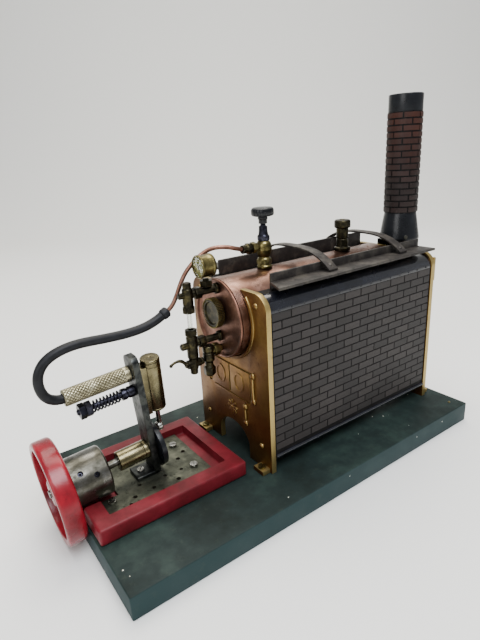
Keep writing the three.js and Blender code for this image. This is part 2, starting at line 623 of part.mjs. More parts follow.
function addCheckValve() {
  const { x, arm, top, bottom } = checkValve;
  const body = turned([
    [0, bottom], [3.4, bottom], [4.4, bottom + 1.5], [4.4, bottom + 9], [3.6, bottom + 10], [3.6, bottom + 13],
    [5, bottom + 15], [5, bottom + 21], [4.2, bottom + 22.5], [5, bottom + 23.5], [5, top - 1], [0, top],
  ], 20).translate(x, boilerY, 0);
  const branch = turnedX([
    [0, x], [3, x], [3, x + 4.5], [5.4, x + 5.2], [5.4, x + 10.6], [3, x + 11], [3, drumEnd.face - gap],
    [0, drumEnd.face - gap],
  ], 20).translate(0, boilerY, arm);
  piece("check_valve", join(body, branch), brass);
}

addBaseboard();
addBed();
addStandard();
addCrankshaft();
addCylinder();
addPivotSpring();
addPiston();
addEndPlates();
addCasing();
addRoof();
addDrum();
addChimney();
addStopValve();
addSteamPipe();
addHose();
addSafetyValve();
addWaterGauge();
addPressureGauge();
addCheckValve();

export default model;
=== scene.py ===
import json
import math

import bmesh
import bpy
from bpy.props import FloatProperty, FloatVectorProperty, IntProperty, PointerProperty, StringProperty
from mathutils import Matrix, Vector
from mathutils.geometry import tessellate_polygon


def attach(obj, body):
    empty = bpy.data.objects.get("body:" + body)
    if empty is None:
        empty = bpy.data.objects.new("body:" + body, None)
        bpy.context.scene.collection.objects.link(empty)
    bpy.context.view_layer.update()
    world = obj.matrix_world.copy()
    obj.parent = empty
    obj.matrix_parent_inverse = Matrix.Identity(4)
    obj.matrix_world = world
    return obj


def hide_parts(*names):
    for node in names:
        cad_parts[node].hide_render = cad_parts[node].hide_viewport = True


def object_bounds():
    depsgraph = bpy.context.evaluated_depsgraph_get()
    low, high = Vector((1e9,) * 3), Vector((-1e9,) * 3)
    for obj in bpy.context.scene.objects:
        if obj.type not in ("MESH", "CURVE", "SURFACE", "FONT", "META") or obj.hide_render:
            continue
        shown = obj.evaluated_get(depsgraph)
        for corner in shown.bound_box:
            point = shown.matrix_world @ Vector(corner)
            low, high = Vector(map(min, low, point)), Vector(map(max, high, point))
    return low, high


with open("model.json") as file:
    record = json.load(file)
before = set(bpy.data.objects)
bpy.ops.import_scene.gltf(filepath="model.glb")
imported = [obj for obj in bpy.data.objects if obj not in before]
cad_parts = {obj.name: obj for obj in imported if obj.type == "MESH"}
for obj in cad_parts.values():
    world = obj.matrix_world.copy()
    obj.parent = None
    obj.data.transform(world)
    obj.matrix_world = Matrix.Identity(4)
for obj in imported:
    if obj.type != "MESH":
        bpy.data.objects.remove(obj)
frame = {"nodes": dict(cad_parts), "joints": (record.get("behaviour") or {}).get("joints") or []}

CAD_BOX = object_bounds()

bl_info = {
    "name": "Model Steam Engine",
    "version": (1, 0, 0),
    "blender": (4, 5, 0),
    "location": "3D View > Sidebar > Steam Engine",
    "description": "Builds a model steam engine piece by piece around its fixed frame",
    "category": "Object",
}

# Local frames work in millimetres. Each maps them to the row frame in metres.
ROW = Matrix.Scale(0.001, 4)


def joint(name):
    return next(j for j in frame["joints"] if j["name"] == name)


def local_frame(origin, x_axis, z_axis):
    x = Vector(x_axis).normalized()
    z = Vector(z_axis).normalized()
    turn = Matrix((x, z.cross(x), z)).transposed().to_4x4()
    return Matrix.Translation(Vector(origin)) @ turn @ ROW


SHAFT_AXIS = joint("crank_spin")["axis"]
SHAFT_AT = Vector(joint("crank_spin")["pos_m"])
PIVOT_AT = Vector(joint("cylinder_swing")["pos_m"])
ENGINE = local_frame(SHAFT_AT, SHAFT_AXIS, PIVOT_AT - SHAFT_AT)
SWING = local_frame(PIVOT_AT, SHAFT_AXIS, -Vector(joint("piston_slide")["axis"]))


def span(node, place=ROW):
    """The lowest and highest corners of a CAD node in a local frame, in millimetres."""
    back = place.inverted()
    corners = [back @ v.co for v in frame["nodes"][node].data.vertices]
    low = Vector([min(c[i] for c in corners) for i in range(3)])
    high = Vector([max(c[i] for c in corners) for i in range(3)])
    return low, high


def middle(node, place=ROW):
    low, high = span(node, place)
    return (low + high) / 2


# ---------------------------------------------------------------- shape building


def rounded(profile, ease, closed):
    """The profile with its corners rounded off; points on the axis stay sharp."""
    out = []
    count = len(profile)
    for i, point in enumerate(profile):
        here = Vector(point)
        before = Vector(profile[i - 1]) if i or closed else None
        after = Vector(profile[(i + 1) % count]) if i < count - 1 or closed else None
        if before is None or after is None or ease <= 0 or here.x < 1e-6:
            out.append(here)
            continue
        cut = min(ease, 0.4 * (before - here).length, 0.4 * (after - here).length)
        if cut < 0.02:
            out.append(here)
            continue
        first = here + (before - here).normalized() * cut
        last = here + (after - here).normalized() * cut
        for k in range(4):
            t = k / 3
            out.append(first * (1 - t) ** 2 + here * 2 * t * (1 - t) + last * t ** 2)
    return out


def smooth_path(points, per=6):
    """Points along a centripetal Catmull-Rom curve through the given ones."""
    known = [Vector(p) for p in points]
    known = [known[0] * 2 - known[1]] + known + [known[-1] * 2 - known[-2]]
    out = []
    for a, b, c, d in zip(known, known[1:], known[2:], known[3:]):
        gaps = [max((q - p).length ** 0.5, 1e-4) for p, q in ((a, b), (b, c), (c, d))]
        t1, t2, t3 = gaps[0], gaps[0] + gaps[1], sum(gaps)
        for k in range(per):
            t = t1 + (t2 - t1) * k / per
            ab = a * (t1 - t) / t1 + b * t / t1
            bc = b * (t2 - t) / (t2 - t1) + c * (t - t1) / (t2 - t1)
            cd = c * (t3 - t) / (t3 - t2) + d * (t - t2) / (t3 - t2)
            abc = ab * (t2 - t) / t2 + bc * t / t2
            bcd = bc * (t3 - t) / (t3 - t1) + cd * (t - t1) / (t3 - t1)
            out.append(abc * (t2 - t) / (t2 - t1) + bcd * (t - t1) / (t2 - t1))
    return out + [known[-2]]


def arc(centre, radius, start, end, steps=10):
    """Points on an arc, its angles in degrees."""
    out = []
    for k in range(steps + 1):
        angle = math.radians(start + (end - start) * k / steps)
        out.append((centre[0] + radius * math.cos(angle), centre[1] + radius * math.sin(angle)))
    return out


class Shape:
    """Closed shells gathered into one mesh, drawn in millimetres in a local frame."""

    def __init__(self, place=ROW):
        self.place = place
        self.bm = bmesh.new()

    def take(self, part, turn=None):
        bmesh.ops.recalc_face_normals(part, faces=part.faces)
        if turn is not None:
            part.transform(turn)
        mesh = bpy.data.meshes.new("part")
        part.to_mesh(mesh)
        part.free()
        self.bm.from_mesh(mesh)
        bpy.data.meshes.remove(mesh)
        return self

    def turn(self, profile, axis="Z", at=(0, 0, 0), ease=0.35, sides=64, tilt=None):
        """A profile of (radius, height) points turned about an axis through a point."""
        closed = profile[0][0] > 1e-6
        part = bmesh.new()
        rows = []
        for point in rounded(profile, ease, closed):
            ring = 1 if point.x < 1e-6 else sides
            row = []
            for k in range(ring):
                angle = 2 * math.pi * k / sides
                across = (point.x * math.cos(angle), point.x * math.sin(angle))
                place = {
                    "X": (point.y, across[0], across[1]),
                    "Y": (across[1], point.y, across[0]),
                    "Z": (across[0], across[1], point.y),
                }[axis]
                row.append(part.verts.new(Vector(place)))
            rows.append(row)
        pairs = list(zip(rows, rows[1:])) + ([(rows[-1], rows[0])] if closed else [])
        for low, high in pairs:
            for k in range(sides):
                corners = [
                    low[k % len(low)], low[(k + 1) % len(low)], high[(k + 1) % len(high)],
                    high[k % len(high)]
                ]
                unique = [v for i, v in enumerate(corners) if v not in corners[:i]]
                if len(unique) > 2:
                    part.faces.new(unique)
        shift = Matrix.Translation(Vector(at))
        return self.take(part, shift @ tilt if tilt is not None else shift)

    def plate(self, outline, holes, low, high, normal="Z", ease=0.4, turn=None):
        """A flat outline with holes, thickened from low to high along its normal, edges rounded."""
        loops = [list(outline)] + [list(h) for h in holes]
        flat = [[Vector((a, b, 0)) for a, b in loop] for loop in loops]
        part = bmesh.new()
        points = [p for loop in flat for p in loop]
        bottom = [part.verts.new((p.x, p.y, low)) for p in points]
        top = [part.verts.new((p.x, p.y, high)) for p in points]
        for tri in tessellate_polygon(flat):
            part.faces.new([bottom[i] for i in tri])
            part.faces.new([top[i] for i in reversed(tri)])
        base = 0
        for loop in flat:
            count = len(loop)
            for k in range(count):
                a, b = base + k, base + (k + 1) % count
                part.faces.new([bottom[a], bottom[b], top[b], top[a]])
            base += count
        bmesh.ops.recalc_face_normals(part, faces=part.faces)
        bmesh.ops.dissolve_limit(part, angle_limit=0.01, verts=[], edges=part.edges)
        if ease > 0:
            rim = [e for e in part.edges if len(e.link_faces) == 2 and e.calc_face_angle() > 1.2
                   and abs(e.verts[0].co.z - e.verts[1].co.z) < 1e-6]
            bmesh.ops.bevel(
                part, geom=rim, offset=ease, segments=2, profile=0.7, affect="EDGES", clamp_overlap=True
            )
        axes = {
            "Z": Matrix.Identity(4),
            "X": Matrix(((0, 0, 1, 0), (1, 0, 0, 0), (0, 1, 0, 0), (0, 0, 0, 1))),
            "Y": Matrix(((1, 0, 0, 0), (0, 0, -1, 0), (0, 1, 0, 0), (0, 0, 0, 1))),
        }
        move = axes[normal]
        return self.take(part, turn @ move if turn is not None else move)

    def block(self, low, high, ease=0.5, turn=None, segments=3):
        part = bmesh.new()
        size = Vector(high) - Vector(low)
        centre = (Vector(high) + Vector(low)) / 2
        bmesh.ops.create_cube(part, size=1, matrix=Matrix.Translation(centre) @ Matrix.Diagonal((*size, 1)))
        if ease > 0:
            bmesh.ops.bevel(
                part, geom=part.edges[:], offset=ease, segments=segments, profile=0.5, affect="EDGES"
            )
        return self.take(part, turn)

    def sweep(self, points, radius, sides=16):
        """A round tube along a path, with closed ends. The radius may be a function of the share along it."""
        part = bmesh.new()
        path = [Vector(p) for p in points]
        ahead = (path[1] - path[0]).normalized()
        side = ahead.orthogonal().normalized()
        rings = []
        for i, point in enumerate(path):
            tangent = (path[min(i + 1, len(path) - 1)] - path[max(i - 1, 0)]).normalized()
            side = (side - tangent * side.dot(tangent)).normalized()
            other = tangent.cross(side)
            size = radius(i / (len(path) - 1)) if callable(radius) else radius
            ring = []
            for k in range(sides):
                angle = 2 * math.pi * k / sides
                ring.append(part.verts.new(point + size * (side * math.cos(angle) + other * math.sin(angle))))
            rings.append(ring)
        for low, high in zip(rings, rings[1:]):
            for k in range(sides):
                part.faces.new([low[k], low[(k + 1) % sides], high[(k + 1) % sides], high[k]])
        part.faces.new(rings[0])
        part.faces.new(rings[-1])
        return self.take(part)

    def hexagon(self, across, low, high, axis="X", at=(0, 0, 0), bore=0, spin=0.0):
        """A nut with its corners chamfered, across its flats."""
        radius = across / math.sqrt(3)
        outline = [
            (radius * math.cos(spin + k * math.pi / 3), radius * math.sin(spin + k * math.pi / 3))
            for k in range(6)
        ]
        holes = [arc((0, 0), bore, 0, -345, 23)] if bore else []
        return self.plate(outline, holes, low, high, axis, 0.45, Matrix.Translation(Vector(at)))

    def ball(self, radius, at, squash=(1, 1, 1)):
        part = bmesh.new()
        bmesh.ops.create_uvsphere(part, u_segments=24, v_segments=14, radius=radius)
        return self.take(part, Matrix.Translation(Vector(at)) @ Matrix.Diagonal((*squash, 1)))

    def relief(self, rows, closed_around):
        """A skin from rows of points, each row joined to the next, ends capped."""
        part = bmesh.new()
        made = [[part.verts.new(p) for p in row] for row in rows]
        for low, high in zip(made, made[1:]):
            count = len(low)
            for k in range(count if closed_around else count - 1):
                n = (k + 1) % count
                part.faces.new([low[k], low[n], high[n], high[k]])
        if closed_around:
            part.faces.new(made[0])
            part.faces.new(made[-1])
        return self.take(part)

    def mesh(self, name):
        mesh = bpy.data.meshes.new(name)
        self.bm.transform(self.place)
        self.bm.to_mesh(mesh)
        self.bm.free()
        return mesh

    def loose(self, name, material=None):
        """A plain object that rides on nothing yet, for cutting or copying."""
        made = bpy.data.objects.new(name, self.mesh(name))
        bpy.context.scene.collection.objects.link(made)
        if material is not None:
            made.data.materials.append(material)
        return made


def shade(mesh, angle=32):
    mesh.shade_smooth()
    mesh.set_sharp_from_angle(angle=math.radians(angle))


def settle(made, body, slot, *nodes):
    """Put a finished piece on its body, in place of its CAD nodes. The slot is not used."""
    shade(made.data)
    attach(made, body)
    if nodes:
        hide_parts(*nodes)
    return made


def finished(shape, name, finish, body, *nodes):
    made = shape.loose(name, material_of(finish))
    return settle(made, body, SLOT_OF[finish], *nodes)


def evaluated(made, name):
    """A plain mesh object from an object with live modifiers; the first object is removed."""
    bpy.context.view_layer.update()
    shown = made.evaluated_get(bpy.context.evaluated_depsgraph_get())
    mesh = bpy.data.meshes.new_from_object(shown)
    mesh.name = name
    plain = bpy.data.objects.new(name, mesh)
    bpy.context.scene.collection.objects.link(plain)
    bpy.data.objects.remove(made)
    return plain


def carved(made, cutters, name):
    """Cut some loose objects out of another, then remove them."""
    for cutter in cutters:
        cut = made.modifiers.new("cut", "BOOLEAN")
        cut.operation = "DIFFERENCE"
        cut.solver = "EXACT"
        cut.object = cutter
    plain = evaluated(made, name)
    for cutter in cutters:
        bpy.data.objects.remove(cutter)
    return plain


# ---------------------------------------------------------------- geometry nodes


def new_tree(name, sockets):
    """A geometry node tree with named inputs of (name, socket type, default)."""
    tree = bpy.data.node_groups.new(name, "GeometryNodeTree")
    tree.interface.new_socket("Geometry", in_out="INPUT", socket_type="NodeSocketGeometry")
    for label, kind, default in sockets:
        made = tree.interface.new_socket(label, in_out="INPUT", socket_type=kind)
        if default is not None:
            made.default_value = default
    tree.interface.new_socket("Geometry", in_out="OUTPUT", socket_type="NodeSocketGeometry")
    return tree


def add(tree, kind, inputs=None, **settings):
    """Add a node, with its settings, and its inputs as values or as sockets to link from."""
    made = tree.nodes.new(kind)
    for key, value in settings.items():
        setattr(made, key, value)
    for key, value in (inputs or {}).items():
        socket = made.inputs[key]
        if isinstance(value, bpy.types.NodeSocket):
            tree.links.new(value, socket)
        else:
            socket.default_value = value
    return made


def run_tree(tree, start, values, name):
    """Run a tree on a start object, its inputs set by identifier, and keep the plain mesh."""
    modifier = start.modifiers.new(tree.name, "NODES")
    modifier.node_group = tree
    for item in tree.interface.items_tree:
        if item.item_type == "SOCKET" and item.in_out == "INPUT" and item.name in values:
            modifier[item.identifier] = values[item.name]
    return evaluated(start, name)


def set_out_tree():
    """Copies of a template on the start object's points, each turned by the point's own angles."""
    tree = bpy.data.node_groups.get("Set out")
    if tree:
        return tree
    tree = new_tree(
        "Set out",
        [
            ("Template", "NodeSocketObject", None), ("Finish", "NodeSocketMaterial", None),
            ("Size", "NodeSocketFloat", 1.0), ("Unevenness", "NodeSocketFloat", 0.0),
            ("Seed", "NodeSocketInt", 7),
        ]
    )
    entry = add(tree, "NodeGroupInput")
    template = add(
        tree, "GeometryNodeObjectInfo", {"Object": entry.outputs["Template"]}, transform_space="ORIGINAL"
    )
    turn = add(tree, "GeometryNodeInputNamedAttribute", {"Name": "turn"}, data_type="FLOAT_VECTOR")
    low = add(tree, "ShaderNodeMath", {0: 1.0, 1: entry.outputs["Unevenness"]}, operation="SUBTRACT")
    high = add(tree, "ShaderNodeMath", {0: 1.0, 1: entry.outputs["Unevenness"]}, operation="ADD")
    chance = add(tree, "FunctionNodeRandomValue", {
        2: low.outputs[0], 3: high.outputs[0], "Seed": entry.outputs["Seed"]}, data_type="FLOAT")
    size = add(tree, "ShaderNodeMath", {0: chance.outputs[1], 1: entry.outputs["Size"]}, operation="MULTIPLY")
    points = add(tree, "GeometryNodeMeshToPoints", {"Mesh": entry.outputs["Geometry"]})
    copies = add(tree, "GeometryNodeInstanceOnPoints", {
        "Points": points.outputs[0], "Instance": template.outputs["Geometry"],
        "Rotation": turn.outputs[0], "Scale": size.outputs[0]})
    real = add(tree, "GeometryNodeRealizeInstances", {"Geometry": copies.outputs[0]})
    paint = add(
        tree, "GeometryNodeSetMaterial", {"Geometry": real.outputs[0], "Material": entry.outputs["Finish"]}
    )
    add(tree, "NodeGroupOutput", {"Geometry": paint.outputs[0]})
    return tree


def set_out(name, template, places, finish, body, unevenness=0.0, seed=7):
    """Copies of a small shape at (point, angles) pairs, as one piece on one body."""
    mesh = bpy.data.meshes.new(name)
    mesh.from_pydata([point for point, _ in places], [], [])
    turn = mesh.attributes.new("turn", "FLOAT_VECTOR", "POINT")
    for k, (_, angles) in enumerate(places):
        turn.data[k].vector = angles
    start = bpy.data.objects.new(name, mesh)
    bpy.context.scene.collection.objects.link(start)
    source = template.loose("template")
    shade(source.data)
    values = {"Template": source, "Finish": material_of(finish), "Unevenness": unevenness, "Seed": seed}
    made = run_tree(set_out_tree(), start, values, name)
    bpy.data.objects.remove(source)
    made.name = name
    return settle(made, body, SLOT_OF[finish])


def towards(direction, spin=0.0, place=None):
    """Euler angles that turn a template's own Z to a direction in a local frame."""
    way = Vector(direction)
    if place is not None:
        way = place.to_3x3() @ way
    return (way.to_track_quat("Z", "Y").to_matrix() @ Matrix.Rotation(spin, 3, "Z")).to_euler()


def coil_tree():
    """A coil spring wound about X, from a spiral curve and a round wire."""
    tree = new_tree("Coil spring", [
        ("Length", "NodeSocketFloat", 0.0237), ("Coil radius", "NodeSocketFloat", 0.0041),
        ("Wire radius", "NodeSocketFloat", 0.00075), ("Turns", "NodeSocketFloat", 7.0),
        ("Finish", "NodeSocketMaterial", None),
    ])
    entry = add(tree, "NodeGroupInput")
    spiral = add(tree, "GeometryNodeCurveSpiral", {
        "Resolution": 40, "Rotations": entry.outputs["Turns"], "Start Radius": entry.outputs["Coil radius"],
        "End Radius": entry.outputs["Coil radius"], "Height": entry.outputs["Length"]})
    wire = add(
        tree, "GeometryNodeCurvePrimitiveCircle", {"Resolution": 12, "Radius": entry.outputs["Wire radius"]}
    )
    body = add(tree, "GeometryNodeCurveToMesh", {
        "Curve": spiral.outputs[0], "Profile Curve": wire.outputs[0], "Fill Caps": True})
    turned = add(
        tree, "GeometryNodeTransform", {"Geometry": body.outputs[0], "Rotation": (0, math.pi / 2, 0)}
    )
    real = add(tree, "GeometryNodeRealizeInstances", {"Geometry": turned.outputs[0]})
    paint = add(
        tree, "GeometryNodeSetMaterial", {"Geometry": real.outputs[0], "Material": entry.outputs["Finish"]}
    )
    add(tree, "NodeGroupOutput", {"Geometry": paint.outputs[0]})
    return tree


def brick_tree():
    """Courses of bricks in running bond on the XZ plane, wrapped round Z where a radius is given."""
    tree = bpy.data.node_groups.get("Brickwork")
    if tree:
        return tree
    tree = new_tree("Brickwork", [
        ("Length", "NodeSocketFloat", 0.2), ("Bricks", "NodeSocketInt", 10), ("Courses", "NodeSocketInt", 17),
        ("Course height", "NodeSocketFloat", 0.0076), ("Joint", "NodeSocketFloat", 0.001),
        ("Relief", "NodeSocketFloat", 0.0005), ("Wrap radius", "NodeSocketFloat", 0.0),
        ("Seed", "NodeSocketInt", 3), ("Finish", "NodeSocketMaterial", None),
    ])

    def calc(operation, a, b=0.0, c=0.0):
        return add(tree, "ShaderNodeMath", {0: a, 1: b, 2: c}, operation=operation).outputs[0]

    entry = add(tree, "NodeGroupInput").outputs
    per_row = calc("ADD", entry["Bricks"], 1)
    total = calc("MULTIPLY", per_row, entry["Courses"])
    spots = add(tree, "GeometryNodePoints", {"Count": total})
    index = add(tree, "GeometryNodeInputIndex").outputs[0]
    course = calc("FLOOR", calc("DIVIDE", calc("ADD", index, 0.5), per_row))
    step = calc("SUBTRACT", index, calc("MULTIPLY", course, per_row))
    pitch = calc("DIVIDE", entry["Length"], entry["Bricks"])
    shift = calc("MULTIPLY", calc("MODULO", course, 2), calc("MULTIPLY", pitch, 0.5))
    left = calc("SUBTRACT", calc("MULTIPLY", step, pitch), shift)
    right = calc("MINIMUM", calc("ADD", left, pitch), entry["Length"])
    left = calc("MAXIMUM", left, 0)
    width = calc("SUBTRACT", calc("SUBTRACT", right, left), entry["Joint"])
    centre = calc("MULTIPLY", calc("ADD", left, right), 0.5)
    height = calc("MULTIPLY", calc("ADD", course, 0.5), entry["Course height"])
    at = add(tree, "ShaderNodeCombineXYZ", {"X": centre, "Z": height})
    placed = add(tree, "GeometryNodeSetPosition", {"Geometry": spots.outputs[0], "Position": at.outputs[0]})
    thin = calc("LESS_THAN", width, 0.002)
    # The width is stored first, because deleting points renumbers them.
    stored = add(
        tree, "GeometryNodeStoreNamedAttribute",
        {"Geometry": placed.outputs[0], "Name": "brick_width", "Value": width}, data_type="FLOAT",
        domain="POINT"
    )
    kept = add(
        tree, "GeometryNodeDeleteGeometry", {"Geometry": stored.outputs[0], "Selection": thin},
        domain="POINT"
    )
    own_width = add(
        tree, "GeometryNodeInputNamedAttribute", {"Name": "brick_width"}, data_type="FLOAT"
    ).outputs[0]
    tone = add(
        tree, "FunctionNodeRandomValue", {2: 0.0, 3: 1.0, "Seed": entry["Seed"]}, data_type="FLOAT"
    ).outputs[1]
    toned = add(tree, "GeometryNodeStoreNamedAttribute", {
        "Geometry": kept.outputs[0], "Name": "brick_tone", "Value": tone}, data_type="FLOAT", domain="POINT")
    body = add(
        tree, "GeometryNodeMeshCube", {"Size": (1, 1, 1), "Vertices X": 5, "Vertices Y": 2, "Vertices Z": 2}
    )
    tall = calc("SUBTRACT", entry["Course height"], entry["Joint"])
    deep = calc("MULTIPLY", entry["Relief"], calc("ADD", calc("MULTIPLY", tone, 0.4), 0.8))
    scale = add(tree, "ShaderNodeCombineXYZ", {"X": own_width, "Y": deep, "Z": tall})
    bricks = add(tree, "GeometryNodeInstanceOnPoints", {
        "Points": toned.outputs[0], "Instance": body.outputs["Mesh"], "Scale": scale.outputs[0]})
    real = add(tree, "GeometryNodeRealizeInstances", {"Geometry": bricks.outputs[0]})
    where = add(tree, "ShaderNodeSeparateXYZ", {0: add(tree, "GeometryNodeInputPosition").outputs[0]})
    angle = calc("DIVIDE", where.outputs[0], calc("MAXIMUM", entry["Wrap radius"], 0.001))
    reach = calc("SUBTRACT", entry["Wrap radius"], where.outputs[1])
    bent = add(
        tree, "ShaderNodeCombineXYZ",
        {
            "X": calc("MULTIPLY", reach, calc("COSINE", angle)),
            "Y": calc("MULTIPLY", reach, calc("SINE", angle)), "Z": where.outputs[2]
        }
    )
    wraps = calc("GREATER_THAN", entry["Wrap radius"], 0.0005)
    wrapped = add(tree, "GeometryNodeSetPosition", {
        "Geometry": real.outputs[0], "Selection": wraps, "Position": bent.outputs[0]})
    paint = add(
        tree, "GeometryNodeSetMaterial", {"Geometry": wrapped.outputs[0], "Material": entry["Finish"]}
    )
    add(tree, "NodeGroupOutput", {"Geometry": paint.outputs[0]})
    return tree


def brickwork(name, place, body, values, finish="printed_brick"):
    """Run the brick tree, then move its mesh to its place."""
    start = bpy.data.objects.new(name, bpy.data.meshes.new(name))
    bpy.context.scene.collection.objects.link(start)
    made = run_tree(brick_tree(), start, {**values, "Finish": material_of(finish)}, name)
    made.data.transform(place)
    bm = bmesh.new()
    bm.from_mesh(made.data)
    bmesh.ops.recalc_face_normals(bm, faces=bm.faces)
    bm.to_mesh(made.data)
    bm.free()
    return settle(made, body, SLOT_OF[finish])


# ---------------------------------------------------------------- finishes


def linear(code, alpha=1.0):
    """A linear colour from an sRGB hex value."""
    out = []
    for k in (0, 2, 4):
        value = int(code[k:k + 2], 16) / 255
        out.append(value / 12.92 if value <= 0.04045 else ((value + 0.055) / 1.055) ** 2.4)
    return (*out, alpha)


def new_finish(name):
    material = bpy.data.materials.new(name)
    material.use_nodes = True
    tree = material.node_tree
    tree.nodes.clear()
    return material, tree


def coordinates(tree, scale=(1, 1, 1), source="Object"):
    where = add(tree, "ShaderNodeTexCoord")
    return add(tree, "ShaderNodeMapping", {"Vector": where.outputs[source], "Scale": scale}).outputs[0]


def noise(tree, size_mm, detail=4, rough=0.55, where=None, distortion=0.0):
    """A noise pattern whose main features are about the given size."""
    inputs = {"Scale": 1000 / size_mm, "Detail": detail, "Roughness": rough, "Distortion": distortion}
    inputs["Vector"] = where if where is not None else coordinates(tree)
    return add(tree, "ShaderNodeTexNoise", inputs).outputs["Fac"]


def ramp(tree, value, *stops):
    """A colour ramp from (place, hex) stops."""
    made = add(tree, "ShaderNodeValToRGB", {"Fac": value})
    points = made.color_ramp.elements
    while len(points) < len(stops):
        points.new(0.5)
    for point, (place, code) in zip(points, stops):
        point.position = place
        point.color = linear(code)
    return made.outputs["Color"]


def blend(tree, factor, first, second, mode="MIX"):
    made = tree.nodes.new("ShaderNodeMix")
    made.data_type = "RGBA"
    made.blend_type = mode
    for index, value in ((0, factor), (6, first), (7, second)):
        socket = made.inputs[index]
        if isinstance(value, bpy.types.NodeSocket):
            tree.links.new(value, socket)
        else:
            socket.default_value = value
    return made.outputs[2]


def maths(tree, operation, *values):
    """One arithmetic node on values or sockets."""
    return add(tree, "ShaderNodeMath", dict(enumerate(values)), operation=operation).outputs[0]


def spread(tree, value, low, high):
    """Map a 0 to 1 pattern onto a range of numbers."""
    return add(tree, "ShaderNodeMapRange", {
        "Value": value, "From Min": 0.25, "From Max": 0.75, "To Min": low, "To Max": high}).outputs[0]


def bump(tree, height, strength, distance_mm, under=None):
    inputs = {"Height": height, "Strength": strength, "Distance": distance_mm / 1000}
    if under is not None:
        inputs["Normal"] = under
    return add(tree, "ShaderNodeBump", inputs).outputs[0]


def surface(tree, color, roughness, metallic=0.0, normal=None, **extra):
    inputs = {"Base Color": color, "Roughness": roughness, "Metallic": metallic}
    if normal is not None:
        inputs["Normal"] = normal
    inputs.update({key.replace("_", " "): value for key, value in extra.items()})
    shader = add(tree, "ShaderNodeBsdfPrincipled", inputs)
    add(tree, "ShaderNodeOutputMaterial", {"Surface": shader.outputs[0]})


def board_enamel():
    # Brushed oil enamel on pine: dark green, cloudy with dirt, with painted light making the sides a lighter
    # teal than the top, a few pale flecks of old paint, and a faint grain under the gloss.
    material, tree = new_finish("board_enamel")
    clouds = noise(tree, 38, 5, 0.62)
    green = ramp(tree, clouds, (0.32, "101916"), (0.5, "182321"), (0.68, "25332e"))
    # Painted light: faces that do not point up are mixed towards a lighter teal.
    normal = add(tree, "ShaderNodeNewGeometry").outputs["Normal"]
    facing = add(tree, "ShaderNodeSeparateXYZ", {0: normal}).outputs[2]
    side = add(
        tree, "ShaderNodeMapRange",
        {"Value": facing, "From Min": 0.1, "From Max": 0.8, "To Min": 0.85, "To Max": 0.0}
    )
    green = blend(tree, side.outputs[0], green, linear("1f3334"))
    dust = ramp(tree, noise(tree, 9, 6, 0.7), (0.58, "000000"), (0.74, "ffffff"))
    green = blend(tree, maths(tree, "MULTIPLY", dust, 0.22), green, linear("414c3e"))
    fleck = add(
        tree, "ShaderNodeTexVoronoi", {"Vector": coordinates(tree), "Scale": 95, "Randomness": 1.0}
    ).outputs["Distance"]
    spot = maths(tree, "LESS_THAN", fleck, 0.055)
    rare = maths(tree, "GREATER_THAN", noise(tree, 24, 1), 0.53)
    spot = maths(tree, "MULTIPLY", spot, rare)
    green = blend(tree, spot, green, linear("d8d9c8"))
    grain = noise(tree, 2.2, 3, 0.6, coordinates(tree, (0.08, 1, 1)))
    surface(
        tree, green, spread(tree, clouds, 0.66, 0.48), 0.0, bump(tree, grain, 0.35, 0.12),
        Specular_IOR_Level=0.16
    )
    return material


def red_paint(name, dark, mid, light, rough, gloss):
    material, tree = new_finish(name)
    clouds = noise(tree, 22, 4, 0.6)
    red = ramp(tree, clouds, (0.3, dark), (0.5, mid), (0.7, light))
    grime = ramp(tree, noise(tree, 5, 6, 0.75), (0.56, "000000"), (0.76, "ffffff"))
    share = maths(tree, "MULTIPLY", grime, 0.55)
    red = blend(tree, share, red, linear("2c0e0e"))
    peel = bump(tree, noise(tree, 1.6, 2, 0.5), 0.12, 0.08)
    surface(
        tree, red, spread(tree, clouds, rough[1], rough[0]), 0.0,
        bump(tree, noise(tree, 12, 2), 0.25, 0.5, peel), Specular_IOR_Level=gloss
    )
    return material


def red_enamel():
    # Stoved red enamel on the flywheel: glossy, slightly wavy, browner where grime has settled.
    return red_paint("red_enamel", "5c0b14", "780e1c", "901624", (0.2, 0.3), 0.34)


def bed_enamel():
    # The same red on the bed, dulled by oil and dust: deeper and flatter, almost maroon.
    return red_paint("bed_enamel", "4a1015", "5c141c", "6f1c26", (0.38, 0.52), 0.2)


def metal(name, dark, mid, light, rough, blotch_mm, grime="20201c", grime_share=0.35, lines=None, fine_mm=0.9,
          metallic=1.0, dent=0.3):
    """A bare metal: three tones in blotches, grime in fine flecks, and turning or rubbing marks."""
    material, tree = new_finish(name)
    clouds = noise(tree, blotch_mm, 5, 0.62)
    color = ramp(tree, clouds, (0.3, dark), (0.5, mid), (0.7, light))
    flecks = ramp(tree, noise(tree, fine_mm * 4, 6, 0.72), (0.55, "000000"), (0.75, "ffffff"))
    share = maths(tree, "MULTIPLY", flecks, grime_share)
    color = blend(tree, share, color, linear(grime))
    low, high = rough
    roughness = maths(tree, "ADD", spread(tree, clouds, high, low), share)
    marks = noise(tree, fine_mm, 3, 0.6, coordinates(tree, lines or (1, 1, 1)))
    normal = bump(tree, marks, dent, 0.12)
    surface(tree, color, roughness, metallic, normal)
    return material


def bright_steel():
    # Clean polished steel, kept bright by rubbing: the piston rod and the screw heads.
    return metal("bright_steel", "77766f", "a3a29c", "cbcac6", (0.16, 0.28), 6, "3a372f", 0.25, None, 1.2)


def turned_steel():
    # Mild steel from the lathe: fine rings round the shaft, straw and violet stains of old oil.
    return metal(
        "turned_steel", "35342d", "54524a", "777672", (0.22, 0.38), 12, "1b1914", 0.4, (9, 1, 1), 2.2
    )


def soiled_steel():
    # Cold-rolled steel plate, long stored: grey-green skin of old oil and dust over a dull shine.
    return metal("soiled_steel", "35372f", "4b4d43", "646558", (0.42, 0.6), 14, "161610", 0.6, None, 1.4)


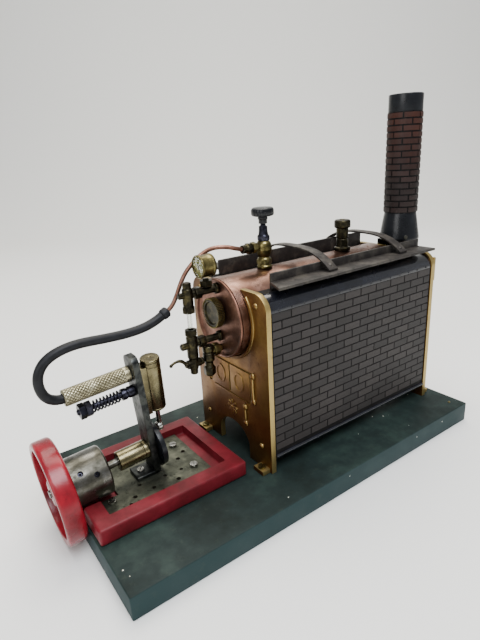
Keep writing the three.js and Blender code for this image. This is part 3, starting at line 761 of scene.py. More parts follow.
def scratched_steel():
    # Bright flat bar gone grey: rubbed streaks along its length, dark smears near the edges.
    return metal(
        "scratched_steel", "151617", "363837", "5c5e59", (0.3, 0.5), 8, "0c0c0c", 0.6, (1, 1, 0.25), 2.0
    )


def blackened_steel():
    # Oil-blacked fasteners and spring wire: nearly black with worn grey edges.
    return metal("blackened_steel", "1a1a1e", "2c2c34", "4a4a56", (0.28, 0.42), 4, "0a0a0c", 0.3)


def dull_brass():
    # Turned brass left to tarnish: olive-brown skin, brighter where hands and spanners rub.
    return metal("dull_brass", "3a3420", "645b38", "93885a", (0.26, 0.42), 7, "16130c", 0.45, None, 0.8)


def dark_brass():
    # Boiler fittings baked by the heat: brown-black oxide over brass, with a greasy shine.
    return metal("dark_brass", "181611", "2d2a20", "50492f", (0.28, 0.46), 5, "0b0a07", 0.4, None, 0.8)


def polished_brass():
    # Bearing and cylinder brass, wiped now and then: yellow with brown smears.
    return metal(
        "polished_brass", "4e4834", "6f674c", "908869", (0.2, 0.32), 16, "282317", 0.12, (1, 1, 3), 1.2
    )


def pale_brass():
    # Nickel-washed brass bar: pale straw metal, darker the deeper a point lies in the knurl's grooves.
    material, tree = new_finish("pale_brass")
    clouds = noise(tree, 9, 5, 0.62)
    color = ramp(tree, clouds, (0.3, "7d765a"), (0.5, "a49d80"), (0.7, "c8c2a4"))
    groove = add(tree, "ShaderNodeAttribute", attribute_name="groove").outputs["Fac"]
    groove_darkening = maths(tree, "MULTIPLY", groove, 0.85)
    color = blend(tree, groove_darkening, color, linear("2a271c"))
    rough = maths(tree, "ADD", spread(tree, clouds, 0.36, 0.24), groove_darkening)
    surface(tree, color, rough, 0.95, bump(tree, noise(tree, 1.4, 3), 0.2, 0.08))
    return material


def cast_brass():
    # Die-cast brass end plates: gold-brown lacquer gone patchy, redder low down, bright on the edges.
    material, tree = new_finish("cast_brass")
    clouds = noise(tree, 26, 5, 0.6)
    color = ramp(tree, clouds, (0.3, "4f3318"), (0.5, "6c4c24"), (0.7, "856734"))
    height = add(tree, "ShaderNodeSeparateXYZ", {0: coordinates(tree)}).outputs[2]
    lift = add(tree, "ShaderNodeMapRange", {"Value": height, "From Min": 0.03, "From Max": 0.15}).outputs[0]
    color = blend(tree, lift, blend(tree, 0.5, color, linear("5c3214")), color)
    facing = add(
        tree, "ShaderNodeSeparateXYZ", {0: add(tree, "ShaderNodeNewGeometry").outputs["Normal"]}
    ).outputs[0]
    away = maths(tree, "ABSOLUTE", facing)
    edge = add(
        tree, "ShaderNodeMapRange",
        {"Value": away, "From Min": 0.85, "From Max": 0.3, "To Min": 0.0, "To Max": 0.75}
    )
    color = blend(tree, edge.outputs[0], color, linear("b39f66"))
    flecks = ramp(tree, noise(tree, 3.4, 6, 0.72), (0.56, "000000"), (0.76, "ffffff"))
    share = maths(tree, "MULTIPLY", flecks, 0.35)
    color = blend(tree, share, color, linear("241306"))
    roughness = maths(tree, "ADD", spread(tree, clouds, 0.46, 0.32), share)
    surface(tree, color, roughness, 0.9, bump(tree, noise(tree, 1.2, 4), 0.3, 0.15))
    return material


def tarnished_copper():
    # Spun and rolled copper sheet: pink-brown, clouded with heat, a soft shine along the barrel.
    material, tree = new_finish("tarnished_copper")
    clouds = noise(tree, 30, 5, 0.65, None, 0.6)
    color = ramp(tree, clouds, (0.28, "4a3429"), (0.48, "725244"), (0.72, "97786a"))
    stain = ramp(tree, noise(tree, 8, 6, 0.75, None, 1.2), (0.52, "000000"), (0.72, "ffffff"))
    share = maths(tree, "MULTIPLY", stain, 0.45)
    color = blend(tree, share, color, linear("4a3a30"))
    roll = noise(tree, 1.2, 3, 0.6, coordinates(tree, (0.15, 1, 1)))
    roughness = maths(tree, "ADD", spread(tree, clouds, 0.36, 0.24), share)
    surface(tree, color, roughness, 1.0, bump(tree, roll, 0.22, 0.1))
    return material


def flanged_copper():
    # The drum's spun end: browner than the barrel from the lamp's heat.
    return metal("flanged_copper", "4a3329", "755345", "9c7667", (0.34, 0.48), 16, "2a1e16", 0.25)


def brick_colours(tree, tone, darkest, middling, palest):
    smoke = noise(tree, 34, 4, 0.6)
    dark = ramp(tree, tone, (0.0, darkest), (0.5, middling), (1.0, palest))
    return blend(tree, spread(tree, smoke, 0.0, 0.5), dark, linear(darkest))


def printed_brick():
    # Tinplate pressed and printed as brickwork, under varnish: warm grey bricks, each a little different.
    material, tree = new_finish("printed_brick")
    tone = add(tree, "ShaderNodeAttribute", attribute_name="brick_tone").outputs["Fac"]
    color = brick_colours(tree, tone, "211e1d", "2b2726", "342f2d")
    speck = noise(tree, 1.6, 5, 0.7)
    color = blend(tree, spread(tree, speck, 0.0, 0.35), color, linear("181514"))
    surface(
        tree, color, spread(tree, speck, 0.5, 0.62), 0.0, bump(tree, speck, 0.4, 0.1),
        Specular_IOR_Level=0.28
    )
    return material


def chimney_brick():
    # The same print on the chimney, scorched: rustier towards the top.
    material, tree = new_finish("chimney_brick")
    tone = add(tree, "ShaderNodeAttribute", attribute_name="brick_tone").outputs["Fac"]
    color = brick_colours(tree, tone, "130f0e", "1c1615", "261d1b")
    height = add(tree, "ShaderNodeSeparateXYZ", {0: coordinates(tree)}).outputs[2]
    scorch = add(
        tree, "ShaderNodeMapRange",
        {"Value": height, "From Min": 0.24, "From Max": 0.31, "To Min": 0.1, "To Max": 0.9}
    )
    patch = maths(tree, "MULTIPLY", scorch.outputs[0], noise(tree, 14, 4, 0.7))
    color = blend(tree, patch, color, linear("472114"))
    speck = noise(tree, 1.6, 5, 0.7)
    surface(
        tree, color, spread(tree, speck, 0.42, 0.56), 0.0, bump(tree, speck, 0.4, 0.1),
        Specular_IOR_Level=0.22
    )
    return material


def mortar_print():
    # The joints between the printed bricks, and the casing's plain backs: soot-dark varnish.
    material, tree = new_finish("mortar_print")
    color = ramp(tree, noise(tree, 6, 5, 0.7), (0.35, "0b0a0a"), (0.65, "131110"))
    surface(tree, color, 0.6, 0.0, bump(tree, noise(tree, 1.1, 4), 0.3, 0.08), Specular_IOR_Level=0.12)
    return material


def black_enamel():
    # Black stoving enamel: deep gloss with a blue sky in it, dusty on top.
    material, tree = new_finish("black_enamel")
    clouds = noise(tree, 16, 5, 0.65)
    color = ramp(tree, clouds, (0.35, "08090c"), (0.6, "0e1014"), (0.78, "1a1c20"))
    surface(tree, color, spread(tree, clouds, 0.2, 0.38), 0.0, bump(tree, noise(tree, 2.2, 3), 0.18, 0.1),
            Specular_IOR_Level=0.3)
    return material


def edge_enamel():
    # Blue-black enamel on the casing's rolled edges.
    material, tree = new_finish("edge_enamel")
    clouds = noise(tree, 12, 4, 0.6)
    color = ramp(tree, clouds, (0.35, "0a0b10"), (0.65, "12141c"))
    surface(tree, color, spread(tree, clouds, 0.18, 0.3), 0.0, bump(tree, noise(tree, 3, 2), 0.15, 0.1),
            Coat_Weight=0.7, Coat_Roughness=0.06, Specular_IOR_Level=0.3)
    return material


def weathered_sheet():
    # Sheet iron whose blacking has gone: brown-grey bloom, lighter scuffs, hardly any shine.
    return metal(
        "weathered_sheet", "1d1a18", "2f2b28", "4f4a43", (0.45, 0.62), 13, "110e0c", 0.5, (0.3, 1, 1), 1.8,
        0.55, 0.4
    )


def black_rubber():
    # Extruded rubber hose: near-black with a grey bloom and a soft sheen.
    material, tree = new_finish("black_rubber")
    bloom = noise(tree, 6, 5, 0.65)
    color = ramp(tree, bloom, (0.35, "0f1012"), (0.65, "1a1b1e"))
    surface(tree, color, spread(tree, bloom, 0.4, 0.55), 0.0, bump(tree, noise(tree, 0.8, 3), 0.25, 0.06),
            Specular_IOR_Level=0.2)
    return material


def gauge_glass():
    # Clear drawn glass tube and lens, faintly green.
    material, tree = new_finish("gauge_glass")
    smear = noise(tree, 3, 3)
    surface(
        tree, linear("dfe8dc"), spread(tree, smear, 0.03, 0.1), 0.0, None, Transmission_Weight=1.0, IOR=1.3,
        Alpha=0.35
    )
    return material


def dial_print():
    # Enamelled card, yellowed behind its glass.
    material, tree = new_finish("dial_print")
    color = ramp(tree, noise(tree, 5, 3), (0.3, "7c7a42"), (0.7, "a09d62"))
    surface(tree, color, 0.6, 0.0, bump(tree, noise(tree, 0.6, 2), 0.1, 0.03))
    return material


MAKERS = {
    f.__name__: f
    for f in (
        board_enamel, red_enamel, bed_enamel, bright_steel, turned_steel, soiled_steel, scratched_steel,
        blackened_steel, dull_brass, dark_brass, polished_brass, pale_brass, cast_brass, tarnished_copper,
        flanged_copper, printed_brick, chimney_brick, mortar_print, black_enamel, edge_enamel,
        weathered_sheet, black_rubber, gauge_glass, dial_print
    )
}
SLOT_OF = {
    "board_enamel": "board_paint", "red_enamel": "red_paint", "bed_enamel": "red_paint",
    "bright_steel": "worn_steel", "turned_steel": "worn_steel",
    "soiled_steel": "worn_steel", "scratched_steel": "dark_steel", "blackened_steel": "dark_steel",
    "dull_brass": "brass", "dark_brass": "brass", "polished_brass": "brass", "pale_brass": "brass",
    "cast_brass": "plate_brass", "tarnished_copper": "copper", "flanged_copper": "copper",
    "printed_brick": "brick_tin", "chimney_brick": "brick_tin", "mortar_print": "brick_tin",
    "black_enamel": "black_paint", "edge_enamel": "black_paint", "weathered_sheet": "weathered_iron",
    "black_rubber": "rubber", "gauge_glass": "glass", "dial_print": "dial_card",
}


def material_of(name):
    return bpy.data.materials.get(name) or MAKERS[name]()


# ---------------------------------------------------------------- settings


class StageSettings(bpy.types.PropertyGroup):
    camera_place: FloatVectorProperty(
        name="Camera place", description="Where the camera stands", size=3, subtype="TRANSLATION",
        unit="LENGTH", default=(-0.2571, -0.3338, 0.2827)
    )
    heading: FloatProperty(
        name="Heading", description="How far the view is turned from +Y towards +X", subtype="ANGLE",
        default=math.radians(34.73))
    dip: FloatProperty(
        name="Dip", description="How far the view looks down", subtype="ANGLE", default=math.radians(19.19))
    roll: FloatProperty(
        name="Roll", description="How far the camera leans to its right", subtype="ANGLE",
        default=math.radians(3.31)
    )
    lens: FloatProperty(
        name="Lens", description="Focal length for a 36 mm tall frame", default=27.34, unit="CAMERA"
    )
    floor_colour: StringProperty(
        name="Floor colour", description="Hex colour of the pale floor", default="e6e6e2"
    )
    daylight: FloatProperty(
        name="Daylight", description="Strength of the soft surrounding light", default=0.55
    )


class EngineSettings(bpy.types.PropertyGroup):
    hose_diameter: FloatProperty(
        name="Hose diameter", description="Outer diameter of the rubber hose", default=0.0074, unit="LENGTH")
    spring_turns: IntProperty(name="Spring turns", description="Turns of the pivot spring", default=8)
    knurl_rows: IntProperty(name="Knurl rows", description="Knurl ridges round the inlet tube", default=14)
    spokes: IntProperty(name="Spokes", description="Spokes of the flywheel", default=6)


class BoilerSettings(bpy.types.PropertyGroup):
    course_height: FloatProperty(
        name="Course height", description="Height of one course of casing bricks", default=0.0074,
        unit="LENGTH"
    )
    bricks_per_course: IntProperty(
        name="Bricks per course", description="Bricks along the casing", default=10
    )
    brick_joint: FloatProperty(
        name="Mortar joint", description="Width of the joints between bricks", default=0.0013, unit="LENGTH")
    brick_relief: FloatProperty(
        name="Brick relief", description="How far the bricks stand out", default=0.0006, unit="LENGTH")
    dimples: IntProperty(name="Dimples", description="Dimples along the casing's top edge", default=15)


def stage_settings():
    return bpy.context.scene.steam_stage


def engine_settings():
    return bpy.context.scene.steam_engine


def boiler_settings():
    return bpy.context.scene.steam_boiler


# ---------------------------------------------------------------- stage


def make_camera():
    own = stage_settings()
    data = bpy.data.cameras.new("camera")
    data.sensor_fit = "VERTICAL"
    data.sensor_height = 36
    data.lens = own.lens
    data.clip_start = 0.01
    data.dof.use_dof = False
    camera = bpy.data.objects.new("camera", data)
    bpy.context.scene.collection.objects.link(camera)
    turn = (Matrix.Rotation(-own.heading, 4, "Z") @ Matrix.Rotation(math.pi / 2 - own.dip, 4, "X")
            @ Matrix.Rotation(-own.roll, 4, "Z"))
    camera.matrix_world = Matrix.Translation(Vector(own.camera_place)) @ turn
    bpy.context.scene.camera = camera


def make_floor():
    material, tree = new_finish("studio_floor")
    tint = linear(stage_settings().floor_colour)
    surface(tree, tint, 0.9)
    mesh = bpy.data.meshes.new("floor")
    low = CAD_BOX[0][2] - 0.0002
    # The floor runs back flat, then curves up into a wall well behind the engine.
    half, back, bend, tall = 9.0, 1.3, 0.9, 4.0
    profile = [(-6.0, low)] + [
        (back + x, low + bend + z) for x, z in arc((0, 0), bend, -90, 0, 16)
    ] + [(back + bend, tall)]
    verts = [(side * half, y, z) for y, z in profile for side in (-1, 1)]
    faces = [(2 * k, 2 * k + 1, 2 * k + 3, 2 * k + 2) for k in range(len(profile) - 1)]
    mesh.from_pydata(verts, [], faces)
    mesh.transform(Matrix.Rotation(-stage_settings().heading, 4, "Z"))
    mesh.shade_smooth()
    mesh.materials.append(material)
    floor = bpy.data.objects.new("floor", mesh)
    bpy.context.scene.collection.objects.link(floor)


def make_lights():
    world = bpy.data.worlds.new("studio")
    bpy.context.scene.world = world
    world.use_nodes = True
    world.node_tree.nodes.clear()
    back = add(world.node_tree, "ShaderNodeBackground", {
        "Color": linear("eef0f4"), "Strength": stage_settings().daylight})
    add(world.node_tree, "ShaderNodeOutputWorld", {"Surface": back.outputs[0]})
    lamps = (
        ("window", (-0.2, -0.9, 1.7), 1.0, 46, "f4f7ff"),
        ("ceiling", (0.3, 0.6, 2.0), 1.6, 60, "fffaf0"),
        ("fill", (-1.6, -0.5, 0.8), 0.9, 12, "ffffff"),
    )
    aim = Vector((0, 0, 0.1))
    for name, place, size, power, tint in lamps:
        light = bpy.data.lights.new(name, "AREA")
        light.size = size
        light.energy = power
        light.color = linear(tint)[:3]
        lamp = bpy.data.objects.new(name, light)
        bpy.context.scene.collection.objects.link(lamp)
        lamp.matrix_world = Matrix.Translation(Vector(place)) @ (
            aim - Vector(place)
        ).to_track_quat("-Z", "Y").to_matrix().to_4x4()


class STEAM_OT_stage(bpy.types.Operator):
    """Set up the camera, the pale floor and soft light"""
    bl_idname = "steam.stage"
    bl_label = "Stage"

    def execute(self, context):
        make_camera()
        make_floor()
        make_lights()
        return {"FINISHED"}


# ---------------------------------------------------------------- hose

# The route of the hose, from the union on the pipe to the steam inlet tube.
HOSE_ROUTE = [
    (-0.09676, 0.0076, 0.16061), (-0.101, 0.0076, 0.1585), (-0.1056, 0.0076, 0.1568),
    (-0.1106, 0.0076, 0.1554), (-0.1164, 0.0076, 0.1544), (-0.1238, 0.0076, 0.1538),
    (-0.1317, 0.0076, 0.1537), (-0.1398, 0.0076, 0.154), (-0.1479, 0.0076, 0.1545),
    (-0.1557, 0.0076, 0.1551), (-0.1633, 0.0076, 0.1555), (-0.1705, 0.0076, 0.1553),
    (-0.177, 0.0076, 0.1544), (-0.1824, 0.0076, 0.153), (-0.1872, 0.0076, 0.151), (-0.1914, 0.0076, 0.1482),
    (-0.1946, 0.0076, 0.1446), (-0.1968, 0.0076, 0.1404), (-0.1979, 0.0076, 0.136),
    (-0.198, 0.0076, 0.1318), (-0.1973, 0.0076, 0.1276), (-0.1958, 0.0075, 0.1236),
    (-0.193, 0.0075, 0.1201), (-0.189, 0.0075, 0.1178), (-0.1849, 0.0075, 0.1169),
    (-0.181, 0.0075, 0.11712), (-0.17756, 0.0075, 0.11736),
]


class STEAM_OT_hose(bpy.types.Operator):
    """Run the rubber steam hose along its route"""
    bl_idname = "steam.hose"
    bl_label = "Steam hose"

    def execute(self, context):
        diameter = engine_settings().hose_diameter
        path = smooth_path([Vector(p) for p in HOSE_ROUTE], 6)
        shape = Shape(Matrix.Identity(4)).sweep(path, diameter / 2, 24)
        hose = finished(shape, "steam_hose_rubber", "black_rubber", "frame", "steam_hose")
        return {"FINISHED"}


# ---------------------------------------------------------------- board and bed


class STEAM_OT_board(bpy.types.Operator):
    """Make the painted wooden baseboard and the tack left in it"""
    bl_idname = "steam.board"
    bl_label = "Baseboard"

    def execute(self, context):
        low, high = span("baseboard")
        shape = Shape().block(low, high, 1.1)
        finished(shape, "painted_board", "board_enamel", "frame", "baseboard")
        tack = Shape().turn(
            [(0, 0), (1.5, 0), (1.4, 0.5), (0.8, 0.9), (0, 1.0)], at=(178, -84.6, high.z - 0.1)
        )
        finished(tack, "board_tack", "dull_brass", "frame")
        return {"FINISHED"}


def screw_head(radius, height, slot=0.9):
    """A slotted cheese head, its underside at the origin, as two halves and the slot's floor."""
    shape = Shape()
    for side in (0, 180):
        start = math.degrees(math.asin(slot / 2 / radius))
        outline = arc((0, 0), radius, side + start, side + 180 - start, 16)
        shape.plate(outline, [], 0, height, "Z", 0.25)
    return shape.block((-radius * 0.96, -slot / 2 - 0.1, 0), (radius * 0.96, slot / 2 + 0.1, height * 0.5), 0)


class STEAM_OT_bed(bpy.types.Operator):
    """Make the red bed casting, the drilled sole plate and its screws"""
    bl_idname = "steam.bed"
    bl_label = "Engine bed"

    def execute(self, context):
        low, high = span("bed_casting")
        sole_low, sole_high = span("sole_plate")
        rim, floor = 13.0, sole_low.z - 0.3
        tray = Shape().block(low, high, 2.0, segments=4).loose("tray")
        well = Shape().block(
            (low.x + rim, low.y + rim, floor), (high.x - rim, high.y - rim, high.z + 6), 1.2
        ).loose("well")
        shaft_y = SHAFT_AT.y * 1000
        gate = Shape().block(
            (low.x - 6, shaft_y - 18, floor), (low.x + rim + 4, shaft_y + 18, high.z + 6), 1.2
        ).loose("gate")
        tray = carved(tray, [well, gate], "bed_enamelled")
        tray.data.materials.clear()
        tray.data.materials.append(material_of("bed_enamel"))
        settle(tray, "frame", "red_paint", "bed_casting")
        self.make_sole(sole_low, sole_high)
        return {"FINISHED"}

    def make_sole(self, low, high):
        screws = [middle(f"sole_screw_{k}") for k in range(1, 5)]
        shaft_y = SHAFT_AT.y * 1000
        slot, slot_end = 13.0, -159.5
        outline = [
            (low.x, low.y), (high.x, low.y), (high.x, high.y), (low.x, high.y), (low.x, shaft_y + slot),
            (slot_end, shaft_y + slot), (slot_end, shaft_y - slot), (low.x, shaft_y - slot),
        ]
        # Old holes: the plate had other uses before, so they follow no pattern.
        strays = [
            (-150, -20, 1.9), (-141, -8.5, 1.5), (-133, -19, 1.8), (-112, -22, 2.0), (-104, -12, 1.6),
            (-99, 3, 1.9), (-108, 14, 1.7), (-116, 27, 1.9), (-138, 24, 1.8), (-151, 31, 1.5),
            (-90, 10, 1.9), (-156, -26, 1.5), (-128, -27, 1.7), (-119, -11, 1.6)
        ]
        holes = [arc((x, y), r, 0, -330, 11) for x, y, r in strays]
        holes += [arc((s.x, s.y), 1.9, 0, -345, 15) for s in screws]
        sole = Shape().plate(outline, holes, low.z, high.z, "Z", 0.25)
        finished(sole, "sole_sheet", "soiled_steel", "frame", "sole_plate")
        top = high.z + 0.3
        places = [
            ((s.x / 1000, s.y / 1000, top / 1000), (0, 0, a)) for s, a in zip(screws, (0.5, 2.2, 1.2, 2.7))
        ]
        template = screw_head(3.4, 1.9)
        heads = set_out("sole_screw_heads", template, places, "bright_steel", "frame")
        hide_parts("sole_screw_1", "sole_screw_2", "sole_screw_3", "sole_screw_4")
        shanks = Shape()
        for s in screws:
            shanks.turn(
                [(0, low.z + 0.3), (1.6, low.z + 0.3), (1.6, top), (0, top)], at=(s.x, s.y, 0), sides=24
            )
        finished(shanks, "sole_screw_shanks", "turned_steel", "frame")


# ---------------------------------------------------------------- engine


class STEAM_OT_standard(bpy.types.Operator):
    """Make the steel standard, its bearing and the knurled steam inlet tube"""
    bl_idname = "steam.standard"
    bl_label = "Standard"

    def execute(self, context):
        half, face, foot_length, foot_thick = 9.0, 2.75, 17.0, 3.0
        low, high = span("engine_standard", ENGINE)
        foot_top = (span("sole_plate")[1].z + 0.3 + foot_thick) - SHAFT_AT.z * 1000
        pivot = (PIVOT_AT - SHAFT_AT).length * 1000
        corner = 6.0
        outline = [(-half, foot_top - 2.5), (half, foot_top - 2.5)]
        outline += arc((half - corner, high.z - corner), corner, 0, 90, 8)
        outline += arc((corner - half, high.z - corner), corner, 90, 180, 8)
        holes = [arc((0, 0), 3.35, 0, -350, 35), arc((0, pivot), 2.75, 0, -350, 35)]
        holes += [arc((side * 3, pivot + 14), 1.4, 0, -345, 15) for side in (-1, 1)]
        shape = Shape(ENGINE).plate(outline, holes, -face, face, "X", 0.45)
        lean = math.atan2(ENGINE.to_3x3()[2][0], ENGINE.to_3x3()[0][0])
        back = Matrix.Rotation(lean, 4, "Y")
        shape.block((-foot_length, -half, foot_top - foot_thick), (face, half, foot_top), 0.6, back)
        screw_at = back @ Vector((-foot_length + 6.5, 0, foot_top))
        finished(shape, "standard_bar", "scratched_steel", "frame", "engine_standard")
        at = ENGINE @ screw_at
        set_out("standard_foot_screw", screw_head(3.1, 1.7), [(at, (0, 0, 0.9))], "bright_steel", "frame")

        low, high = span("crank_bearing", ENGINE)
        r = high.y
        bush = [(3.35, low.x), (r - 0.4, low.x), (r, low.x + 0.6), (r, high.x - 4), (r - 0.3, high.x - 3.6),
                (r - 0.3, high.x - 3.2), (r, high.x - 2.8), (r, high.x), (3.35, high.x)]
        finished(
            Shape(ENGINE).turn(bush, "X", ease=0.3), "crank_bush", "polished_brass", "frame",
            "crank_bearing"
        )
        self.make_inlet()
        return {"FINISHED"}

    def make_inlet(self):
        """The tube's diamond knurl is a skin whose radius follows two crossing helices."""
        low, high = span("steam_inlet_tube", ENGINE)
        centre = (low + high) / 2
        r = (high.y - low.y) / 2
        rows_round = engine_settings().knurl_rows
        plain, depth = 4.0, 0.5
        around, along = rows_round * 12, 190
        rows = []
        for i in range(along + 1):
            x = low.x + 0.3 + (high.x - low.x - 0.6) * i / along
            fade = min(1, max(0, (high.x - plain - x) / 1.0))
            ring = []
            for k in range(around):
                angle = 2 * math.pi * k / around
                helix = x / r
                first = abs(math.sin((angle + helix) * rows_round / 2))
                second = abs(math.sin((angle - helix) * rows_round / 2))
                size = r - depth * fade * (1 - min(1, 1.7 * min(first, second)))
                ring.append(Vector((x, centre.y + size * math.cos(angle), centre.z + size * math.sin(angle))))
            rows.append(ring)
        bore = 4.2
        for x, size in (
            (high.x, r - 0.5), (high.x, 2.0), (low.x + 6, 2.0), (low.x + 6, bore), (low.x, bore),
            (low.x, r - 0.5)
        ):
            turns = [2 * math.pi * k / around for k in range(around)]
            rows.append([
                Vector((x, centre.y + size * math.cos(a), centre.z + size * math.sin(a))) for a in turns])
        part = bmesh.new()
        made = [[part.verts.new(p) for p in row] for row in rows]
        for a, b in zip(made, made[1:] + made[:1]):
            for k in range(around):
                n = (k + 1) % around
                part.faces.new([a[k], a[n], b[n], b[k]])
        tube = finished(
            Shape(ENGINE).take(part), "inlet_tube_knurled", "pale_brass", "frame", "steam_inlet_tube"
        )
        # How deep each point lies in the knurl, to darken the colour deep in its grooves.
        back = ENGINE.inverted()
        groove = tube.data.attributes.new("groove", "FLOAT", "POINT")
        for k, vertex in enumerate(tube.data.vertices):
            at = back @ vertex.co
            out = math.hypot(at.y - centre.y, at.z - centre.z)
            groove.data[k].value = min(1, (r - out) / depth) if out > r - 2 * depth else 0.0


class STEAM_OT_crank(bpy.types.Operator):
    """Make the crankshaft, disc, pin, flywheel and its hub"""
    bl_idname = "steam.crank"
    bl_label = "Crank and flywheel"

    def execute(self, context):
        low, high = span("crankshaft", ENGINE)
        shaft = Shape(ENGINE).turn([(0, low.x), (3, low.x), (3, high.x), (0, high.x)], "X", ease=0.6)
        finished(shaft, "crank_spindle", "turned_steel", "crank", "crankshaft")

        low, high = span("crank_disc", ENGINE)
        pin_low, pin_high = span("crank_pin", ENGINE)
        pin = (pin_low + pin_high) / 2
        rim = arc((0, 0), high.y, 0, 354, 59)
        holes = [arc((0, 0), 3.35, 0, -350, 35), arc((pin.y, pin.z), 2.3, 0, -345, 23)]
        disc = Shape(ENGINE).plate(rim, holes, low.x, high.x, "X", 0.6)
        finished(disc, "crank_web", "black_enamel", "crank", "crank_disc")
        stud = [(0, pin_low.x), (2, pin_low.x), (2, pin_high.x), (0, pin_high.x)]
        finished(
            Shape(ENGINE).turn(stud, "X", (0, pin.y, pin.z), 0.4, 32), "crank_stud", "turned_steel",
            "crank", "crank_pin"
        )
        self.make_flywheel()
        self.make_hub()
        return {"FINISHED"}

    def make_flywheel(self):
        low, high = span("flywheel", ENGINE)
        r = high.y
        x0, x1 = low.x, high.x
        rim = [(r - 6, x0 + 0.6), (r - 5.2, x0), (r - 1.8, x0), (r - 0.3, x0 + 1.2), (r, x0 + 3), (r, x1 - 3),
               (r - 0.3, x1 - 1.2), (r - 1.8, x1), (r - 5, x1), (r - 6, x1 - 0.8)]
        wheel = Shape(ENGINE).turn(rim, "X", ease=0.8, sides=128)
        boss = [(3.35, x0 + 2), (9.5, x0 + 2), (11, x0 + 4), (11, x1), (3.35, x1)]
        wheel.turn(boss, "X", ease=0.8)
        count = engine_settings().spokes
        mid = (x0 + x1) / 2
        for k in range(count):
            turn = Matrix.Rotation(2 * math.pi * k / count, 4, "X")
            outline = [
                (-4.8, 10), (-3.6, 15), (-3.6, r - 11), (-5.4, r - 5.4), (5.4, r - 5.4), (3.6, r - 11),
                (3.6, 15), (4.8, 10)
            ]
            wheel.plate(outline, [], mid - 3, mid + 3, "X", 1.1, turn)
        finished(wheel, "flywheel_enamelled", "red_enamel", "crank", "flywheel")

    def make_hub(self):
        low, high = span("flywheel_hub", ENGINE)
        r = (high.y - low.y) / 2
        x0, x1 = low.x, high.x
        hub = [
            (3.35, x0), (r - 0.8, x0), (r, x0 + 0.8), (r, x1 - 1.2), (r - 1.2, x1), (12, x1),
            (11, x1 - 1.6), (3.35, x1 - 1.6)
        ]
        body = Shape(ENGINE).turn(hub, "X", ease=0.4, sides=96).loose("hub", material_of("turned_steel"))
        cutters = []
        grub = Shape(ENGINE)
        # Each grub screw's place along the shaft and its angle down from the top.
        for x, angle in ((-61.5, 44), (-50.5, 60)):
            tilt = Matrix.Rotation(math.radians(angle), 4, "X")
            drill = Shape(ENGINE).turn(
                [(0, r - 6), (2.2, r - 6), (2.2, r + 3), (0, r + 3)], at=(x, 0, 0), ease=0, sides=32,
                tilt=tilt
            )
            cutters.append(drill.loose("drill"))
            seat = Matrix.Translation(Vector((x, 0, 0))) @ tilt
            outline = arc((0, 0), 1.95, 0, 345, 23)
            key = [
                (0.95 * math.cos(math.pi / 3 * k), 0.95 * math.sin(math.pi / 3 * k))
                for k in range(6, 0, -1)
            ]
            grub.plate(outline, [key], r - 5.4, r - 2.4, "Z", 0.15, seat)
        body = carved(body, cutters, "hub_turned")
        settle(body, "crank", "worn_steel", "flywheel_hub")
        finished(grub, "hub_grub_screws", "blackened_steel", "crank")


